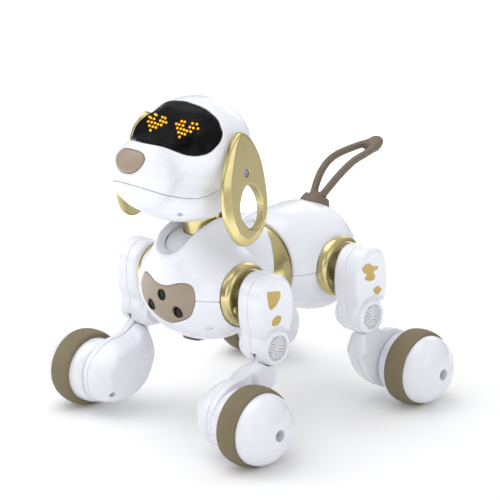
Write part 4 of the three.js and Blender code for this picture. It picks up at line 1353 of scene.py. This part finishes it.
SHANK = [
    (106.9, 14.2), (110.8, 22), (112, 30), (111.3, 38), (106.5, 46.3), (97.5, 53.6),
    (88, 57.2), (77, 58.7), (68.5, 62), (62.5, 66), (56, 68), (50, 64), (48.3, 55),
    (48.6, 45), (52, 36), (59, 24), (68, 15.5), (78, 10.5), (90, 8.3), (100, 10.2),
]
SHANK_MIDDLE = np.array([82.0, 35.0])
SHANK_SCREW = (101.2, 20.6)     # y, z
KNEE_CLEARANCE = 14.75          # radius kept free round the knee
# inner face: scale of the outline, x
FACET_SCALE = [0, 0.5, 0.70, 0.78, 0.86, 0.93, 0.975, 1.0, 1.05, 1.3]
FACET_X = [45.5, 45.9, 46.8, 48.4, 51.6, 55.2, 58.6, 61.6, 66.5, 80.0]

shank_line = Outline(SHANK, step=0.3)
# the outline in polar form about its middle, repeated a turn each way
from_middle = shank_line.points - SHANK_MIDDLE
polar_angle = np.arctan2(from_middle[:, 1], from_middle[:, 0])
order = np.argsort(polar_angle)
polar_angle = np.concatenate([polar_angle[order] + k * 2 * math.pi for k in (-1, 0, 1)])
polar_radius = np.tile(np.linalg.norm(from_middle, axis=1)[order], 3)


def shank_scale(y, z):
    """Scale at which the outline, shrunk about its middle, passes through the point."""
    y, z = y - SHANK_MIDDLE[0], z - SHANK_MIDDLE[1]
    return np.sqrt(y * y + z * z) / np.interp(np.arctan2(z, y), polar_angle, polar_radius)


def inner_face(y, z):
    """x of the inner face: a soft oval facet over the wheel, thinning towards the knee."""
    facet = np.interp(shank_scale(y, z), FACET_SCALE, FACET_X)
    return (facet + 7.5 * np.clip((z - 40) / 24, 0, 1) ** 1.3
            + 3.0 * np.clip((66 - y) / 20, 0, 1))


def shank_outer(x, y, z):
    """Outer plate, the proud neck below the knee, and the tongue into the thigh."""
    edge = shank_line(y, z)
    solid = plate(edge, x, 60, 71.5, 1.0)
    neck_edge = clip(edge - 0.8, circle(y, z, (56.5, 58.0), 14), 3.0)
    neck = plate(neck_edge, x, 62, 74.6, 2.8)
    neck = np.maximum(neck, -circle(y, z, AXLE, 26.2))
    solid = cut(join(solid, neck, 2.0), knee_circle(y, z, KNEE_CLEARANCE), 0.4)
    arm = capsule(0 * y, y, z, (0, *KNEE), (0, 60, 60), 7.2, 5.8)
    tongue = plate(join(knee_circle(y, z, 11.9), arm, 1.0), x, 66.5, 70.3, 0.4)
    solid = clip(np.minimum(solid, tongue), LEG_SPLIT_X + SEAM - x, 0.3)
    solid = np.maximum(solid, -circle(y, z, AXLE, 4.4))
    return np.maximum(solid, -knee_circle(y, z, 3.4))


def shank_inner(x, y, z):
    edge = shank_line(y, z)
    face = inner_face(y, z)
    solid = clip(plate(edge, x, 40, 71.6, 1.0), (face - x) * 0.75, 3.0)
    solid = clip(solid, x - (LEG_SPLIT_X - SEAM), 0.3)
    solid = cut(solid, knee_circle(y, z, KNEE_CLEARANCE), 0.4)
    solid = cut(solid, np.maximum(circle(y, z, SHANK_SCREW, 2.1), x - 52.4), 0.6)
    hollow = np.maximum(np.maximum(edge + 6.5, face + 3.6 - x), 58.4 - x)
    return np.maximum(solid, -hollow)


# ---------------------------------------------------------------- turned leg parts: x, radius

HIP_RING = [
    (43.0, 5.6), (43.0, 23.6), (43.5, 24.0), (44.8, 24.0), (47.4, 23.3), (49.2, 21.8),
    (50.0, 19.8), (49.4, 17.8), (47.9, 16.3), (46.9, 15.9), (46.7, 14.6), (45.4, 14.2),
    (45.0, 13.4), (45.0, 5.6),
]
HIP_RING_FILLETS = [0, 0.3, 0.3, 1.2, 2, 2, 2, 1.4, 0.5, 0.4, 0.4, 0.5, 0.4, 0]
HIP_STOP = [(44.6, 0), (44.6, 3.6), (48.8, 3.2), (50.2, 2.2), (50.6, 0)]
KNEE_PLATE = [(76.85, 0), (76.85, 7.3), (77.6, 7.3), (77.6, 6.9), (77.9, 6.8), (77.9, 0)]
SCREW_HEAD = [(51.6, 0), (51.6, 2.1), (53.2, 2.1), (53.2, 0)]
HUB_PLUG = [(112.0, 0), (112.0, 4.1), (112.9, 4.1), (113.3, 2.2), (112.8, 0.9), (112.8, 0)]
TYRE = [
    (82.9, 25.4), (82.9, 27.4), (83.1, 28.2), (83.7, 28.75), (86.2, 29.45), (89.2, 29.88),
    (92, 30.0), (94.8, 29.88), (97.8, 29.45), (100.2, 28.8), (100.8, 28.4), (101.0, 27.7),
    (100.8, 27.0), (100.8, 25.4),
]
HUB_DRUM = [
    (60.2, 0), (60.2, 3.6), (60.6, 4.0), (71.9, 4.0), (71.9, 21.6), (72.1, 22.4),
    (72.7, 23.1), (74.2, 24.0), (76.5, 24.6), (79.5, 24.95), (82.6, 25.0), (82.9, 25.2),
    (100.9, 25.2), (100.9, 26.6),
]
HUB_MOUTH = [(119.9, 5.1), (119.95, 4.75), (119.6, 4.35), (112.4, 4.2), (112.2, 0)]
DOME_X, DOME_DEPTH, DOME_RADIUS = 101, 19, 26.9
dome_turn = math.acos(4.7 / DOME_RADIUS)    # angle at which the dome is 4.7 in radius
hub_dome = [
    (DOME_X + DOME_DEPTH * math.sin(i / 14 * dome_turn) / math.sin(dome_turn),
     DOME_RADIUS * math.cos(i / 14 * dome_turn))
    for i in range(14)
]


def turned(profile, centre, count):
    return lathe(profile, "x", (0, *centre), count)


spots = {end: [spot_mesh(points) for points in SPOTS[end]] for end in SPOTS}
# name, mesh, material, body, replaced piece, slot, sharp angle
HIP_AND_THIGH = [
    ("hip_collar", turned(fillet(HIP_RING, HIP_RING_FILLETS), (HIP_Y, HIP_Z), 112),
     GOLD, "torso", "hip_ring", "gold_trim", 40),
    ("hip_stop", turned(fillet(HIP_STOP, 0.8), (64.3, 101.6), 40),
     GOLD, "torso", None, "gold_trim", 40),
    ("thigh_outer_cover", surface(thigh_outer, (65, 31, 60), (81.5, 73.5, 134), cell=0.65),
     WHITE, "upper_leg", "thigh_outer", "white_shell", None),
    ("thigh_inner_cover", surface(thigh_inner, (1, 31, 60), (75, 73.5, 134), cell=0.8),
     WHITE, "upper_leg", "thigh_inner", "white_shell", None),
    ("knee_perforated_disc",
     surface(knee_disc, (76.9, KNEE[0] - 9, KNEE[1] - 9), (79.8, KNEE[0] + 9, KNEE[1] + 9),
             cell=0.26, relax=1),
     WHITE, "upper_leg", "knee_grille", "white_shell", None),
    ("knee_back_plate", turned(fillet(KNEE_PLATE, 0.1), KNEE, 72),
     GOLD_INK, "upper_leg", None, "gold_trim", 40),
]
SHANK_AND_WHEEL = [
    ("shank_outer_cover", surface(shank_outer, (64.5, 40, 6), (75.5, 114, 89), cell=0.7),
     WHITE, "lower_leg", "shank_outer", "white_shell", None),
    ("shank_inner_cover", surface(shank_inner, (43, 46, 6), (67.5, 114, 70), cell=0.75),
     WHITE, "lower_leg", "shank_inner", "white_shell", None),
    # grey screw head: partly its own colour, partly painted shade of its hole
    ("shank_screw", turned(fillet(SCREW_HEAD, 0.15), SHANK_SCREW, 32),
     GREY_AND_RECESS_SHADE, "lower_leg", None, None, None),
    ("hub", turned(HUB_DRUM + hub_dome + HUB_MOUTH, AXLE, 128),
     WHITE, "wheel", "wheel_hub", "white_shell", 35),
    # grey plug at the bottom of the hub mouth: partly its own colour, partly painted shade of the
    # bore
    ("hub_plug", turned(fillet(HUB_PLUG, 0.2), AXLE, 40), GREY_AND_RECESS_SHADE, "wheel", None, None, None),
    ("rubber_tyre", turned(TYRE, AXLE, 144), TYRE_RUBBER, "wheel", "tyre", "tyre", 50),
]

for end, facing in (("front", -1), ("rear", 1)):
    printed = [
        (f"spot_{letter}", mesh, GOLD_INK, "upper_leg", None, "gold_trim", None)
        for letter, mesh in zip("ab", spots[end])
    ]
    for side, sign in SIDES:
        corner = f"{end}_{side}"
        for name, mesh, material, body, old, slot, sharp in (
                HIP_AND_THIGH + printed + SHANK_AND_WHEEL):
            make(f"{corner}_{name}", placed(mesh, sign, facing), material,
                 body if body == "torso" else f"{corner}_{body}",
                 old and f"{corner}_{old}", sharp)

# ---------------------------------------------------------------- studio

scene = bpy.context.scene
FLOOR_HALF = 6      # m
FLOOR_CELLS = 24


def paper_material():
    """Pale paper that glows more away from the toy, so it reads as even white."""
    material, tree, shader, coord = new_material("studio_paper")
    colour = tint(tree, coord, scale=3.0, first=(0.86, 0.86, 0.86, 1),
                  second=(0.85, 0.85, 0.85, 1))
    tree.links.new(colour, shader.inputs["Base Color"])
    patches = remap(tree, noise(tree, coord, scale=6.0, detail=2.0), target=(0.85, 0.9))
    tree.links.new(patches, shader.inputs["Roughness"])
    shader.inputs["Specular IOR Level"].default_value = 0.05
    distance = node(tree, "ShaderNodeVectorMath", operation="LENGTH")
    tree.links.new(coord, distance.inputs[0])
    glow = remap(tree, distance.outputs["Value"], target=(0.10, 0.95),
                 source=(0.22, 0.75), kind="SMOOTHSTEP")
    shader.inputs["Emission Color"].default_value = (1, 1, 1, 1)
    tree.links.new(glow, shader.inputs["Emission Strength"])
    return material


def add_floor():
    steps = [-FLOOR_HALF + 2 * FLOOR_HALF * i / FLOOR_CELLS for i in range(FLOOR_CELLS + 1)]
    row = FLOOR_CELLS + 1
    corners = [i * row + j for i in range(FLOOR_CELLS) for j in range(FLOOR_CELLS)]
    data = bpy.data.meshes.new("studio_floor")
    data.from_pydata([(x, y, 0.0) for x in steps for y in steps], [],
                     [(k, k + row, k + row + 1, k + 1) for k in corners])
    floor = bpy.data.objects.new("studio_floor", data)
    scene.collection.objects.link(floor)
    data.materials.append(paper_material())


def add_world():
    """Bright above, darker towards the horizon, so the metal has something to reflect."""
    world = bpy.data.worlds.new("studio_world")
    scene.world = world
    world.use_nodes = True
    tree = world.node_tree
    background = next(n for n in tree.nodes if n.type == "BACKGROUND")
    coord = node(tree, "ShaderNodeTexCoord")
    split = node(tree, "ShaderNodeSeparateXYZ")
    tree.links.new(coord.outputs["Generated"], split.inputs[0])
    strength = remap(tree, split.outputs["Z"], target=(0.24, 0.78), source=(0.0, 0.75),
                     kind="SMOOTHSTEP")
    background.inputs["Color"].default_value = (0.98, 0.985, 1.0, 1)
    tree.links.new(strength, background.inputs["Strength"])


PURE, COOL = (1, 1, 1), (0.985, 0.99, 1)
# name, place, height aimed at above the row origin, side of the square (m), watts, colour
LIGHTS = (
    ("key_top", (-0.35, -0.25, 1.5), 0.1, 1.3, 9.6, PURE),
    ("key_left", (-1.25, -0.95, 1.0), 0.12, 0.9, 4.2, PURE),
    ("fill_front", (0.9, -1.7, 0.6), 0.1, 0.9, 3.8, COOL),
    ("fill_right", (1.7, -0.2, 0.8), 0.12, 0.9, 3.2, COOL),
    ("rim_back", (-0.7, 1.4, 0.9), 0.12, 0.9, 3.6, PURE),
)


def add_light(name, place, aim_height, size, power, colour):
    data = bpy.data.lights.new(name, "AREA")
    data.shape = "RECTANGLE"
    data.size = data.size_y = size
    data.energy = power
    data.color = colour
    light = bpy.data.objects.new(name, data)
    light.location = place
    light.rotation_mode = "QUATERNION"
    aim = Vector((0, 0, aim_height)) - Vector(place)
    light.rotation_quaternion = aim.to_track_quat("-Z", "Y")
    scene.collection.objects.link(light)


def add_camera():
    """Long lens from ahead of the dog on its left, a little above."""
    azimuth, elevation = math.radians(44.66057), math.radians(16.49842)
    data = bpy.data.cameras.new("view_camera")
    camera = bpy.data.objects.new("view_camera", data)
    scene.collection.objects.link(camera)
    back = Vector((math.sin(azimuth) * math.cos(elevation),
                   -math.cos(azimuth) * math.cos(elevation), math.sin(elevation)))
    right = Vector((math.cos(azimuth), math.sin(azimuth), 0))
    axes = Matrix((right, back.cross(right), back))
    camera.location = Vector((1.049959, -1.050821 + ORIGIN_Y / 1000, 0.555818))
    camera.rotation_mode = "QUATERNION"
    camera.rotation_quaternion = axes.transposed().to_quaternion()
    data.sensor_fit = "HORIZONTAL"
    data.sensor_width = 36.0
    data.lens = 144.713232
    data.shift_x, data.shift_y = -0.023506, 0.022404
    data.clip_start, data.clip_end = 0.05, 40
    scene.camera = camera


add_floor()
add_world()
for light_settings in LIGHTS:
    add_light(*light_settings)
add_camera()
scene.view_settings.view_transform = "Standard"
scene.view_settings.look = "None"
scene.view_settings.exposure = 0.0
scene.view_settings.gamma = 1.0
